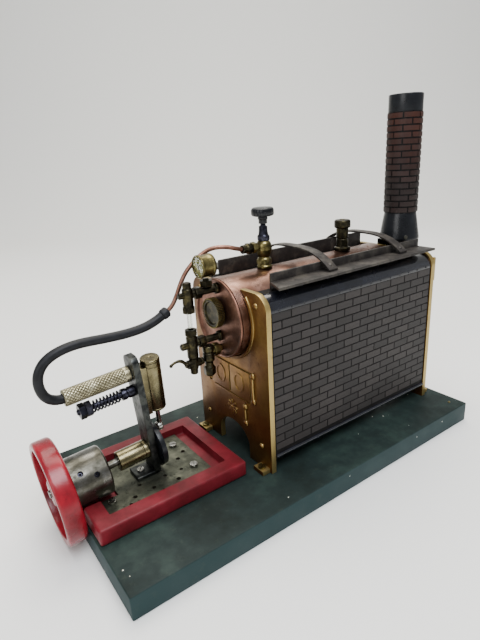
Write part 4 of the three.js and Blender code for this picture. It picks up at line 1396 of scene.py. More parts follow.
class STEAM_OT_cylinder(bpy.types.Operator):
    """Make the oscillating cylinder with its port block, pivot bolt, nuts and spring"""
    bl_idname = "steam.cylinder"
    bl_label = "Cylinder"

    def execute(self, context):
        body = "oscillating_cylinder"
        low, high = span("cylinder", SWING)
        at = (high.x - 8, 0, 0)
        barrel = [
            (6.3, low.z), (8, low.z), (8, high.z - 4), (7.8, high.z - 3.8), (7.8, high.z - 3.4),
            (8, high.z - 3.2), (8, high.z), (6.3, high.z)
        ]
        finished(
            Shape(SWING).turn(barrel, at=at, ease=0.25), "cylinder_barrel", "polished_brass", body,
            "cylinder"
        )
        low, high = span("cylinder_top_cover", SWING)
        lid = [
            (0, low.z), (8, low.z), (8, high.z - 0.7), (7.4, high.z), (1.6, high.z), (1.2, high.z - 0.5),
            (0, high.z - 0.5)
        ]
        finished(
            Shape(SWING).turn(lid, at=at, ease=0.3), "cylinder_lid", "polished_brass", body,
            "cylinder_top_cover"
        )
        low, high = span("cylinder_gland", SWING)
        cup = [(2.3, low.z), (5.4, low.z), (8, low.z + 2.2), (8, high.z), (2.3, high.z)]
        gland = Shape(SWING).turn(cup, at=at, ease=0.6)
        finished(gland, "cylinder_bottom_gland", "polished_brass", body, "cylinder_gland")
        self.make_port_block(body)
        self.make_pivot(body)
        return {"FINISHED"}

    def make_port_block(self, body):
        low, high = span("port_block", SWING)
        centre, r = span("cylinder", SWING)[1].x - 8, 8.3
        half = high.y
        start = math.degrees(math.asin(half / r))
        outline = [(low.x, half), (low.x, -half)]
        outline += arc((centre, 0), r, 180 + start, 180 - start, 10)
        strip = Shape(SWING).plate(outline, [], low.z, high.z, "Z", 0.3)
        finished(strip, "port_face_block", "polished_brass", body, "port_block")

    def make_pivot(self, body):
        low, high = span("pivot_bolt", SWING)
        bolt = Shape(SWING)
        ridge = []
        turns = 18
        for k in range(turns):
            x = low.x + 0.5 + k * 0.75
            ridge += [(2.1, x), (2.4, x + 0.37)]
        profile = [(0, low.x), (1.9, low.x)] + ridge + [(2.4, low.x + 15), (2.4, high.x), (0, high.x)]
        bolt.turn(profile, "X", ease=0.1, sides=32)
        finished(bolt, "pivot_stud", "blackened_steel", body, "pivot_bolt")
        low, high = span("pivot_nut", SWING)
        nut = Shape(SWING).hexagon(11, low.x, high.x, bore=2.7, spin=0.3)
        finished(nut, "pivot_nut_hex", "blackened_steel", body, "pivot_nut")
        low, high = span("pivot_lock_nut", SWING)
        lock = Shape(SWING).hexagon(11, low.x, high.x, bore=2.7)
        finished(lock, "pivot_lock_nut_hex", "blackened_steel", body, "pivot_lock_nut")
        low, high = span("pivot_collar", ENGINE)
        z = (low.z + high.z) / 2
        r = (high.z - low.z) / 2
        seat = [
            (2.7, low.x), (r, low.x), (r, low.x + 4), (r - 0.7, low.x + 4.6), (r - 0.7, low.x + 5.4),
            (r, low.x + 6), (r, high.x), (2.7, high.x)
        ]
        finished(
            Shape(ENGINE).turn(seat, "X", (0, 0, z), 0.35), "pivot_spring_seat", "blackened_steel", "frame",
            "pivot_collar"
        )
        low, high = span("pivot_spring", SWING)
        start = bpy.data.objects.new("spring", bpy.data.meshes.new("spring"))
        bpy.context.scene.collection.objects.link(start)
        wire = 0.75
        values = {
            "Length": (high.x - low.x - 2 * wire) / 1000, "Coil radius": (high.y - wire) / 1000,
            "Wire radius": wire / 1000, "Turns": float(engine_settings().spring_turns),
            "Finish": material_of("blackened_steel")
        }
        coil = run_tree(coil_tree(), start, values, "pivot_coil_spring")
        coil.data.transform(SWING @ Matrix.Translation(Vector((low.x + wire, 0, 0))) @ Matrix.Scale(1000, 4))
        settle(coil, body, "dark_steel", "pivot_spring")


class STEAM_OT_piston(bpy.types.Operator):
    """Make the piston and its rod"""
    bl_idname = "steam.piston"
    bl_label = "Piston"

    def execute(self, context):
        low, high = span("piston", SWING)
        at = ((low.x + high.x) / 2, 0, 0)
        crown = [(0, low.z), (6, low.z)]
        for z in (low.z + 1.8, high.z - 2.6):
            crown += [(6, z), (5.5, z), (5.5, z + 0.8), (6, z + 0.8)]
        crown += [(6, high.z), (0, high.z)]
        finished(
            Shape(SWING).turn(crown, at=at, ease=0.15), "piston_head", "turned_steel", "piston", "piston"
        )
        low, high = span("piston_rod", SWING)
        eye_z = low.z + 4
        rod = Shape(SWING).turn(
            [(0, eye_z + 3), (2, eye_z + 3), (2, high.z), (0, high.z)], at=at, ease=0.2, sides=32
        )
        ring = [(2.3, low.x), (3.4, low.x), (4, low.x + 0.8), (4, high.x - 0.8), (3.4, high.x), (2.3, high.x)]
        rod.turn(ring, "X", (0, 0, eye_z), 0.2, 48)
        finished(rod, "piston_rod_and_eye", "bright_steel", "piston", "piston_rod")
        return {"FINISHED"}


# ---------------------------------------------------------------- boiler house


def plate_shape(low, high, drum, cut):
    """The end plates' outline in (Y, Z): arched at the foot, with a cradle for the drum at the top."""
    middle_y = (low.y + high.y) / 2
    half, corner, arch_half, spring, crown = (high.y - low.y) / 2, 14.0, 23.0, 32.0, 49.0
    out = [(low.y, low.z), (middle_y - arch_half, low.z), (middle_y - arch_half, spring)]
    for k in range(1, 24):
        angle = math.pi * (1 - k / 24)
        out.append((middle_y + arch_half * math.cos(angle), spring + (crown - spring) * math.sin(angle)))
    out += [(middle_y + arch_half, spring), (middle_y + arch_half, low.z), (high.y, low.z)]
    out += arc((middle_y + half - corner, high.z - corner), corner, 0, 90, 10)
    if cut:
        reach = math.degrees(math.asin((high.z - drum.z) / cut))
        out += arc((middle_y, drum.z), cut, reach, -180 - reach, 60)
    out += arc((middle_y - half + corner, high.z - corner), corner, 90, 180, 10)
    return out, middle_y


def rivet():
    return Shape().turn([(0, 1.9), (0.9, 1.75), (1.8, 1.2), (2.3, 0.3), (2.4, 0), (0, 0)], ease=0, sides=20)


class STEAM_OT_end_plates(bpy.types.Operator):
    """Make the two brass end plates, with the front's relief, rivets and foot screws"""
    bl_idname = "steam.end_plates"
    bl_label = "End plates"

    def execute(self, context):
        drum = middle("boiler_drum")
        self.make_front(drum)
        self.make_back(drum)
        return {"FINISHED"}

    def feet(self, shape, x, outward, low, middle_y, thick=4.0):
        places = []
        for side in (-1, 1):
            y = middle_y + side * 45.5
            ends = sorted((x - outward, x + outward * 8))
            outline = [(ends[0], y - 6.5), (ends[1], y - 6.5), (ends[1], y + 6.5), (ends[0], y + 6.5)]
            hole = arc((x + outward * 4, y), 1.9, 0, -345, 15)
            shape.plate(outline, [hole], low.z, low.z + thick, "Z", 0.6)
            places.append(((x + outward * 4) / 1000, y / 1000, (low.z + thick) / 1000))
        return places

    def make_front(self, drum):
        low, high = span("front_plate")
        front, back = -42.0, high.x
        outline, mid = plate_shape(low, high, drum, 35.3)
        shape = Shape().plate(outline, [], front, back, "X", 0.7)
        feet = self.feet(shape, front, -1, low, mid)
        self.add_relief(shape, front, mid, drum)
        finished(shape, "front_plate_cast", "cast_brass", "frame", "front_plate")
        spots = [(mid + s * 41.5, z) for s in (-1, 1) for z in (168, 42)]
        places = [((front / 1000, y / 1000, z / 1000), towards((-1, 0, 0))) for y, z in spots]
        set_out("front_plate_rivets", rivet(), places, "cast_brass", "frame", 0.05)
        screws = [(p, (0, 0, 0.7 + k)) for k, p in enumerate(feet)]
        set_out("front_foot_screws", screw_head(3.4, 1.6), screws, "dull_brass", "frame")

    def add_relief(self, shape, front, mid, drum):
        """Cast fire doors: a band round the drum's cradle, two leaves, a draught door, hinges, a rosette."""
        band = [
            (front - 1.0, 35.4), (front - 1.4, 36.4), (front - 1.0, 38.0), (front + 0.3, 38.3),
            (front + 0.3, 35.4)
        ]
        rows = []
        for k in range(61):
            angle = math.radians(38 - 256 * k / 60)
            across, up = math.cos(angle), math.sin(angle)
            rows.append([Vector((x, mid + r * across, drum.z + r * up)) for x, r in band])
        shape.relief(rows, True)
        proud = front - 1.3
        for side in (-1, 1):
            near, far = sorted((mid + side * 0.9, mid + side * 30))
            outline = [(near, 79), (far, 79), (far, 106), (near, 106)]
            shape.plate(outline, [], proud, front + 0.3, "X", 0.5)
            # A plain oval boss on each leaf.
            centre = (mid + side * 14, 92.5)
            ring = [
                (centre[0] + 7.2 * math.cos(a), centre[1] + 9 * math.sin(a))
                for a in [math.pi * k / 18 for k in range(36)]
            ]
            gap = [
                (centre[0] + 5.6 * math.cos(a), centre[1] + 7.2 * math.sin(a))
                for a in [-math.pi * k / 18 for k in range(36)]
            ]
            shape.plate(ring, [gap], proud - 0.6, proud + 0.2, "X", 0.25)
            hinges = [(mid + side * 33.5, 81, 105)] + ([(mid - 20.5, 55, 71)] if side < 0 else [])
            for y, z0, z1 in hinges:
                shape.sweep(
                    [(front - 0.8, y, z0), (front - 0.9, y, (z0 + z1) / 2), (front - 0.8, y, z1)], 1.3, 14
                )
                for z in (z0, z1):
                    shape.ball(2.6, (front - 0.6, y, z), (0.7, 1, 1.15))
        frame_line = [(mid - 27.5, 75.4), (mid - 27.5, 77)] + [(mid + 27.5, 77), (mid + 27.5, 75.4)]
        shape.plate(frame_line, [], front - 0.8, front + 0.3, "X", 0.3)
        # A generic eight-petal rosette over the arch.
        for k in range(8):
            turn = Matrix.Translation(Vector((0, mid, 63))) @ Matrix.Rotation(math.pi * k / 4, 4, "X")
            petal = [
                (1.5 * math.cos(a), 4.6 + 3.0 * math.sin(a)) for a in [math.pi * j / 8 for j in range(16)]
            ]
            shape.plate(petal, [], front - 0.9, front + 0.2, "X", 0.4, turn)
        shape.ball(2.0, (front - 0.2, mid, 63), (0.7, 1, 1))

    def make_back(self, drum):
        low, high = span("back_plate")
        face = 173.0
        outline, mid = plate_shape(low, high, drum, 0)
        flue = arc((mid, drum.z), 15, 0, -350, 35)
        shape = Shape().plate(outline, [flue], low.x, face, "X", 0.7)
        feet = self.feet(shape, face, 1, low, mid)
        rim = [(15.2, 0.3), (18, 0.3), (17.6, -1.1), (15.2, -1.1)]
        shape.turn([(r, face - h) for r, h in rim], "X", (0, mid, drum.z), 0.3)
        shape.block((face - 0.5, low.y + 1, 148), (face + 3.4, low.y + 5, 172), 0.8)
        finished(shape, "back_plate_cast", "cast_brass", "frame", "back_plate")
        spots = [(mid + s * 41.5, z) for s in (-1, 1) for z in (168, 42)]
        places = [((face / 1000, y / 1000, z / 1000), towards((1, 0, 0))) for y, z in spots]
        set_out("back_plate_rivets", rivet(), places, "cast_brass", "frame", 0.05, 9)
        screws = [(p, (0, 0, 0.4 + k)) for k, p in enumerate(feet)]
        set_out("back_foot_screws", screw_head(3.4, 1.6), screws, "dull_brass", "frame")


class STEAM_OT_casing(bpy.types.Operator):
    """Make the two brick-printed casing halves with their enamelled edges"""
    bl_idname = "steam.casing"
    bl_label = "Casing"

    def execute(self, context):
        for node, side in (("casing_near", -1), ("casing_far", 1)):
            self.make_side(node, side)
        return {"FINISHED"}

    def make_side(self, node, side):
        own = boiler_settings()
        low, high = span(node)
        outer = low.y if side < 0 else high.y
        shoulder, sheet = 13.0, 1.2
        centre_y = outer - side * shoulder
        inner = high.y if side < 0 else low.y
        top = high.z
        sweep = (180, 90) if side < 0 else (0, 90)
        outline = [(outer, low.z)] + arc((centre_y, top - shoulder), shoulder, *sweep, 10)
        outline += [(inner, top), (inner, top - sheet)]
        outline += arc(
            (centre_y, top - shoulder), shoulder - sheet, sweep[1], sweep[0], 10
        ) + [(outer - side * sheet, low.z)]
        skin = Shape().plate(outline, [], low.x, high.x, "X", 0.25)
        name = node.replace("casing_", "casing_sheet_")
        finished(skin, name, "mortar_print", "frame", node)
        # Bricks cover the flat of the side, between the edges.
        foot = 7.0
        height = top - shoulder - (low.z + foot)
        courses = round(height / (own.course_height * 1000))
        values = {
            "Length": (high.x - low.x - 1) / 1000, "Bricks": own.bricks_per_course, "Courses": courses,
            "Course height": height / courses / 1000, "Joint": own.brick_joint, "Relief": own.brick_relief,
            "Wrap radius": 0.0, "Seed": 3 if side < 0 else 5}
        place = Matrix.Translation(Vector((low.x + 0.5, outer, low.z + foot)) / 1000)
        brickwork(node.replace("casing", "bricks"), place, "frame", values)
        # The edges above and below the bricks: a rolled bead at the foot, and a smooth enamelled shoulder.
        trim = Shape()
        bead = [
            (low.x + 0.4, outer + side * 0.1, low.z + 2.0), (high.x - 0.4, outer + side * 0.1, low.z + 2.0)
        ]
        trim.sweep(bead, 1.9, 20)
        outline = [(outer + side * 0.35, top - shoulder + 0.4)]
        outline += arc((centre_y, top - shoulder), shoulder + 0.35, *sweep, 12)
        outline += arc((centre_y, top - shoulder), shoulder + 0.02, sweep[1], sweep[0], 12)
        outline += [(outer + side * 0.02, top - shoulder + 0.4)]
        trim.plate(outline, [], low.x + 0.2, high.x - 0.2, "X", 0.1)
        finished(trim, node.replace("casing", "edge"), "edge_enamel", "frame")
        count = own.dimples
        level = (top - shoulder + 1.6) / 1000
        places = []
        for k in range(count):
            x = low.x + 8 + (high.x - low.x - 16) * k / (count - 1)
            places.append(((x / 1000, (outer + side * 0.3) / 1000, level), towards((0, side, 0))))
        stud = Shape().turn([(0, 0.5), (0.7, 0.35), (1.0, 0), (1.0, -0.4), (0, -0.4)], ease=0, sides=14)
        set_out(node.replace("casing", "dimples"), stud, places, "black_enamel", "frame", 0.1)


class STEAM_OT_roof(bpy.types.Operator):
    """Make the two angle rails and the straps over the drum"""
    bl_idname = "steam.roof"
    bl_label = "Rails and straps"

    def execute(self, context):
        mid = middle("boiler_drum").y
        for node, side in (("near_rail", -1), ("far_rail", 1)):
            low, high = span(node)
            web = mid + side * 36
            out = low.y if side < 0 else high.y
            shape = Shape()
            walls = sorted((web, web + side * 2.4))
            shape.block((-23, walls[0], low.z), (high.x, walls[1], high.z), 0.5)
            outline = [(-23, web + side * 1.2), (low.x, out), (high.x, out), (high.x, web + side * 1.2)]
            shape.plate(outline, [], 181, 183.2, "Z", 0.5)
            finished(shape, f"{node}_sheet", "weathered_sheet", "frame", node)
        for node in ("strap_front", "strap_rear"):
            self.make_strap(node, mid)
        return {"FINISHED"}

    def make_strap(self, node, mid):
        low, high = span(node)
        half, thick, rise = (high.y - low.y) / 2, 1.6, high.z - low.z - 1.6
        steps = 40
        under, over = [], []
        for k in range(steps + 1):
            s = 2 * k / steps - 1
            z = low.z + rise * (1 - abs(s) ** 3)
            under.append((mid + s * half, z))
            over.append((mid + s * half, z + thick))
        strap = Shape().plate(under + over[::-1], [], low.x, high.x, "X", 0.35)
        finished(strap, f"{node}_sheet", "weathered_sheet", "frame", node)
        x = (low.x + high.x) / 2000
        places = [
            (
                (x, (mid + s * 46) / 1000, (low.z + rise * (1 - 0.92 ** 3) + thick - 0.4) / 1000),
                towards((0, s * 0.5, 1))
            )
            for s in (-1, 1)
        ]
        head = Shape().turn(
            [(0, 1.3), (0.8, 1.2), (1.6, 0.6), (1.8, 0), (1.8, -0.6), (0, -0.6)], ease=0, sides=18
        )
        set_out(f"{node}_rivets", head, places, "weathered_sheet", "frame")


# ---------------------------------------------------------------- boiler


class STEAM_OT_drum(bpy.types.Operator):
    """Make the copper drum, its spun front end and the filler plug"""
    bl_idname = "steam.drum"
    bl_label = "Boiler drum"

    def execute(self, context):
        low, high = span("boiler_drum")
        r = (high.z - low.z) / 2
        at = (0, (low.y + high.y) / 2, (low.z + high.z) / 2)
        x0, x1 = low.x, high.x
        shell = [
            (0, x1 - 1.2), (r - 1.2, x1 - 1.2), (r - 1.2, x0), (r, x0), (r, x1 - 4), (r - 4, x1), (0, x1)
        ]
        finished(
            Shape().turn(shell, "X", at, 0.25, 128), "drum_shell", "tarnished_copper", "frame",
            "boiler_drum"
        )
        low, high = span("drum_front_end")
        face, front = -49.5, low.x
        end = [
            (0, face - 0.25), (12, face - 0.2), (24, face), (30, face + 0.1), (31.4, face - 0.4),
            (32.1, front + 0.5), (33, front), (r - 0.6, front), (r, front + 0.7), (r, x0 - 0.6),
            (r - 1.6, x0 - 0.3), (r - 1.6, high.x), (32, high.x), (32, face + 1.2), (0, face + 1.2)
        ]
        finished(
            Shape().turn(end, "X", at, 0.5, 128), "drum_end_spun", "flanged_copper", "frame",
            "drum_front_end"
        )
        self.make_plug()
        return {"FINISHED"}

    def make_plug(self):
        low, high = span("filler_plug")
        centre = (low + high) / 2
        r = (high.z - low.z) / 2
        at = (0, centre.y, centre.z)
        body = [
            (0, low.x + 1.2), (r - 4, low.x + 1.2), (r - 3, low.x), (r - 1.4, low.x),
            (r - 0.6, low.x + 0.8), (r - 0.6, high.x - 4), (r - 2, high.x - 3), (r - 4, high.x), (0, high.x)
        ]
        plug = Shape().turn(body, "X", at, 0.3, 96)
        finished(plug, "filler_plug_body", "dark_brass", "frame", "filler_plug")
        ribs = 56
        places = []
        for k in range(ribs):
            angle = 2 * math.pi * k / ribs
            out = Vector((0, math.cos(angle), math.sin(angle)))
            spot = Vector((centre.x - 1.4, centre.y, centre.z)) + out * (r - 0.65)
            places.append((spot / 1000, Matrix.Rotation(angle - math.pi / 2, 3, "X").to_euler()))
        rib = Shape().block((-3.2, -0.36, -0.5), (3.2, 0.36, 0.6), 0.2, segments=1)
        set_out("filler_plug_knurl", rib, places, "dull_brass", "frame")


class STEAM_OT_chimney(bpy.types.Operator):
    """Make the smoke hood, chimney base, brick barrel and collar"""
    bl_idname = "steam.chimney"
    bl_label = "Chimney"

    def execute(self, context):
        centre = middle("chimney_barrel")
        at = (centre.x, centre.y, 0)
        low, high = span("smoke_hood")
        self.make_hood(low, high, centre)
        low, high = span("chimney_base")
        r, z0, z1 = (high.x - low.x) / 2, low.z, high.z
        base = [
            (r - 1.2, z0), (r, z0), (r, z0 + 2), (16.3, 211.4), (16, 212), (16, z1), (14.8, z1),
            (14.8, 212)
        ]
        finished(
            Shape().turn(base, at=at, ease=0.4, sides=96), "chimney_skirt", "black_enamel", "frame",
            "chimney_base"
        )
        low, high = span("chimney_barrel")
        r = (high.x - low.x) / 2
        tube = [(16.4, low.z), (r - 0.75, low.z), (r - 0.75, high.z), (16.4, high.z)]
        finished(
            Shape().turn(tube, at=at, ease=0.1, sides=96), "chimney_tube", "mortar_print", "frame",
            "chimney_barrel"
        )
        rows = 16
        values = {
            "Length": 2 * math.pi * (r - 0.4) / 1000, "Bricks": 6, "Courses": rows,
            "Course height": (high.z - low.z) / rows / 1000, "Joint": 0.0015, "Relief": 0.0008,
            "Wrap radius": (r - 0.5) / 1000, "Seed": 11
        }
        place = Matrix.Translation(Vector((centre.x, centre.y, low.z)) / 1000)
        brickwork("chimney_bricks", place, "frame", values, "chimney_brick")
        low, high = span("chimney_collar")
        r = (high.x - low.x) / 2
        foot = span("chimney_barrel")[1].z + 0.3
        ring = [
            (15, low.z), (16.1, low.z), (16.1, foot), (r, foot), (r, high.z - 0.6), (r - 0.5, high.z),
            (15.4, high.z), (15, high.z - 0.5)
        ]
        finished(
            Shape().turn(ring, at=at, ease=0.3, sides=96), "chimney_crown", "black_enamel", "frame",
            "chimney_collar"
        )
        level = span("chimney_base")[0].z + 4
        out = Vector((-0.55, -0.83, 0)).normalized()
        spot = Vector((centre.x, centre.y, level)) + out * 19.6
        set_out(
            "chimney_screw", screw_head(2.0, 1.3, 0.6), [(spot / 1000, towards((out.x, out.y, 0.15), 0.6))],
            "turned_steel", "frame"
        )
        return {"FINISHED"}

    def make_hood(self, low, high, centre):
        outer, wall = (high.y - low.y) / 2, 1.5

        def bow(r):
            return [(low.x, centre.y - r)] + arc(
                (centre.x, centre.y), r, -90, 90, 20
            ) + [(low.x, centre.y + r)]

        inner = bow(outer - wall)[::-1]
        hood = Shape().plate(bow(outer) + inner, [], low.z, high.z, "Z", 0.3)
        hood.plate(bow(outer - wall / 2), [], low.z, low.z + wall, "Z", 0.3)
        finished(hood, "smoke_hood_sheet", "black_enamel", "frame", "smoke_hood")


# ---------------------------------------------------------------- fittings


class STEAM_OT_stop_valve(bpy.types.Operator):
    """Make the stop valve, its handwheel, and the copper steam pipe with its unions"""
    bl_idname = "steam.stop_valve"
    bl_label = "Stop valve and pipe"

    def execute(self, context):
        low, high = span("stop_valve_body")
        centre = middle("stop_valve_spindle")
        at = (centre.x, centre.y, 0)
        z = low.z
        body = [
            (0, z), (6.8, z), (6.8, z + 2), (5.9, z + 2.8), (5.9, z + 8), (4.7, z + 9.6), (6.2, z + 12.6),
            (7, z + 16), (7, z + 19), (6.1, z + 22), (4.4, high.z), (2.9, high.z), (2.9, high.z - 6),
            (0, high.z - 6)
        ]
        arm_z = 204.0
        shape = Shape().turn(body, at=at, ease=0.5)
        arm = [(0, -13.2), (2.4, -13.2), (2.4, -8.4), (3.2, -7.6), (3.2, -3), (0, -3)]
        shape.turn(arm, "X", (0, centre.y, arm_z), 0.3, 40)
        shape.hexagon(8.6, -12.6, -8.2, "X", (0, centre.y, arm_z), 0, 0.2)
        shape.hexagon(11.6, z + 3.6, z + 7.6, "Z", at, 0, 0.5)
        finished(shape, "stop_valve_casting", "dull_brass", "frame", "stop_valve_body")
        low, high = span("stop_valve_gland")
        gland = [
            (2.9, low.z), (5.2, low.z), (5.2, low.z + 3.8), (4.2, low.z + 5), (3.8, low.z + 8),
            (3.6, high.z), (2.9, high.z)
        ]
        cap = Shape().turn(gland, at=at, ease=0.3)
        cap.hexagon(10, low.z + 0.4, low.z + 3.6, "Z", at, 2.95)
        finished(cap, "stop_valve_gland_nut", "blackened_steel", "frame", "stop_valve_gland")
        low, high = span("stop_valve_spindle")
        stem = [(0, low.z), (2.5, low.z)]
        for k in range(7):
            stem += [(2.5, high.z - 7 + k * 0.9), (2.15, high.z - 6.6 + k * 0.9)]
        stem += [(2.3, high.z), (0, high.z)]
        finished(
            Shape().turn(stem, at=at, ease=0.1, sides=32), "stop_valve_stem", "blackened_steel",
            "valve_spindle", "stop_valve_spindle"
        )
        self.make_handwheel(at)
        self.make_pipe(centre.y, arm_z)
        return {"FINISHED"}

    def make_handwheel(self, at):
        """A solid moulded knob with a lobed rim, on a short boss."""
        low, high = span("stop_valve_handwheel")
        r, z = (high.x - low.x) / 2, low.z
        lobes, around = 14, 168
        profile = [
            (0, z), (3.4, z), (r - 1.6, z + 0.2), (r - 0.5, z + 0.8), (r, z + 2), (r, z + 5.2),
            (r - 0.6, z + 6.6), (r - 1.8, z + 7.2), (3, z + 7.3), (0, z + 7.1)
        ]
        rows = []
        for k in range(around):
            angle = 2 * math.pi * k / around
            wave = 1 - 0.035 * (1 - abs(math.cos(angle * lobes / 2))) ** 1.5
            rows.append([(p * (wave if p > r - 1 else 1), h, angle) for p, h in profile])
        part = bmesh.new()
        made = [
            [part.verts.new((at[0] + p * math.cos(a), at[1] + p * math.sin(a), h)) for p, h, a in row]
            for row in rows
        ]
        for a, b in zip(made, made[1:] + made[:1]):
            for k in range(len(a) - 1):
                part.faces.new([a[k], a[k + 1], b[k + 1], b[k]])
        bmesh.ops.remove_doubles(part, verts=part.verts[:], dist=1e-4)
        wheel = Shape().take(part)
        boss = [(2.6, z - 6.2), (3.7, z - 6.2), (3.7, z - 3), (4.2, z - 2.4), (4.2, z + 0.4), (2.6, z + 0.4)]
        wheel.turn(boss, at=at, ease=0.3, sides=40)
        finished(wheel, "stop_valve_knob", "black_enamel", "valve_handwheel", "stop_valve_handwheel")

    def make_pipe(self, y, z):
        low, high = span("pipe_union_nut")
        at = (0, y, z)
        nut = [(2.2, low.x), (3.7, low.x), (3.7, low.x + 4), (4.4, low.x + 5), (4.4, high.x), (2.2, high.x)]
        union = Shape().turn(nut, "X", at, 0.3)
        union.hexagon(8.6, low.x + 5, high.x - 0.3, "X", at, 2.3)
        finished(union, "pipe_union", "dark_brass", "frame", "pipe_union_nut")
        route = [
            (-14, y, z), (-20, y, z), (-27, -3.4, z + 1.6), (-34, -1, 207.6), (-41, 3, 208.2),
            (-48, 7, 206.8), (-56, 8.6, 203), (-64, 8.6, 197.6), (-71.5, 8.4, 190.8), (-77, 8, 183),
            (-81.6, 7.8, 174.4), (-86, 7.6, 167.8), (-90.4, 7.6, 163.8),
        ]
        pipe = Shape().sweep(smooth_path(route, 8), 1.8, 24)
        finished(pipe, "steam_pipe_bent", "flanged_copper", "frame", "steam_pipe")
        tilt = Matrix.Rotation(math.radians(-27), 4, "Y")
        cuff = [(0, -1), (4.2, -1), (4.6, 0.2), (4.6, 4.2), (3.2, 5.4), (0, 5.4)]
        finished(
            Shape().turn(cuff, "X", (-95.6, 7.6, 161.2), 0.5, 48, tilt), "hose_cuff", "black_rubber",
            "frame", "hose_union"
        )


class STEAM_OT_safety_valve(bpy.types.Operator):
    """Make the safety valve and its cap"""
    bl_idname = "steam.safety_valve"
    bl_label = "Safety valve"

    def execute(self, context):
        low, high = span("safety_valve_body")
        at = ((low.x + high.x) / 2, (low.y + high.y) / 2, 0)
        z, r = low.z, 5.8
        body = [
            (0, z), (r + 2, z), (r + 2, z + 3), (r, z + 4), (r, z + 11), (r - 0.5, z + 11.4),
            (r - 0.5, z + 12), (r, z + 12.4), (r, high.z), (2.3, high.z), (2.3, z + 3), (0, z + 3)
        ]
        finished(
            Shape().turn(body, at=at, ease=0.35), "safety_valve_barrel", "dark_brass", "frame",
            "safety_valve_body"
        )
        low, high = span("safety_valve_cap")
        r = (high.x - low.x) / 2
        under = span("safety_valve_body")[1].z + 0.4
        cap = [
            (0, low.z), (1.8, low.z), (1.8, under), (r - 0.6, under), (r, under + 0.8), (r, high.z - 1.4),
            (r - 1, high.z - 0.3), (r - 3, high.z), (3, high.z), (2.4, high.z - 0.6), (0, high.z - 0.6)
        ]
        lid = Shape().turn(cap, at=at, ease=0.35, sides=72)
        finished(lid, "safety_valve_lid", "dark_brass", "safety_valve", "safety_valve_cap")
        ribs = 36
        places = []
        for k in range(ribs):
            angle = 2 * math.pi * k / ribs
            out = Vector((math.cos(angle), math.sin(angle), 0))
            spot = Vector((at[0], at[1], (under + high.z) / 2 - 0.3)) + out * (r - 0.45)
            places.append((spot / 1000, (0, 0, angle)))
        rib = Shape().block((-0.5, -0.3, -2.2), (0.45, 0.3, 2.2), 0.15, segments=1)
        set_out("safety_valve_ribs", rib, places, "dark_brass", "safety_valve")
        return {"FINISHED"}


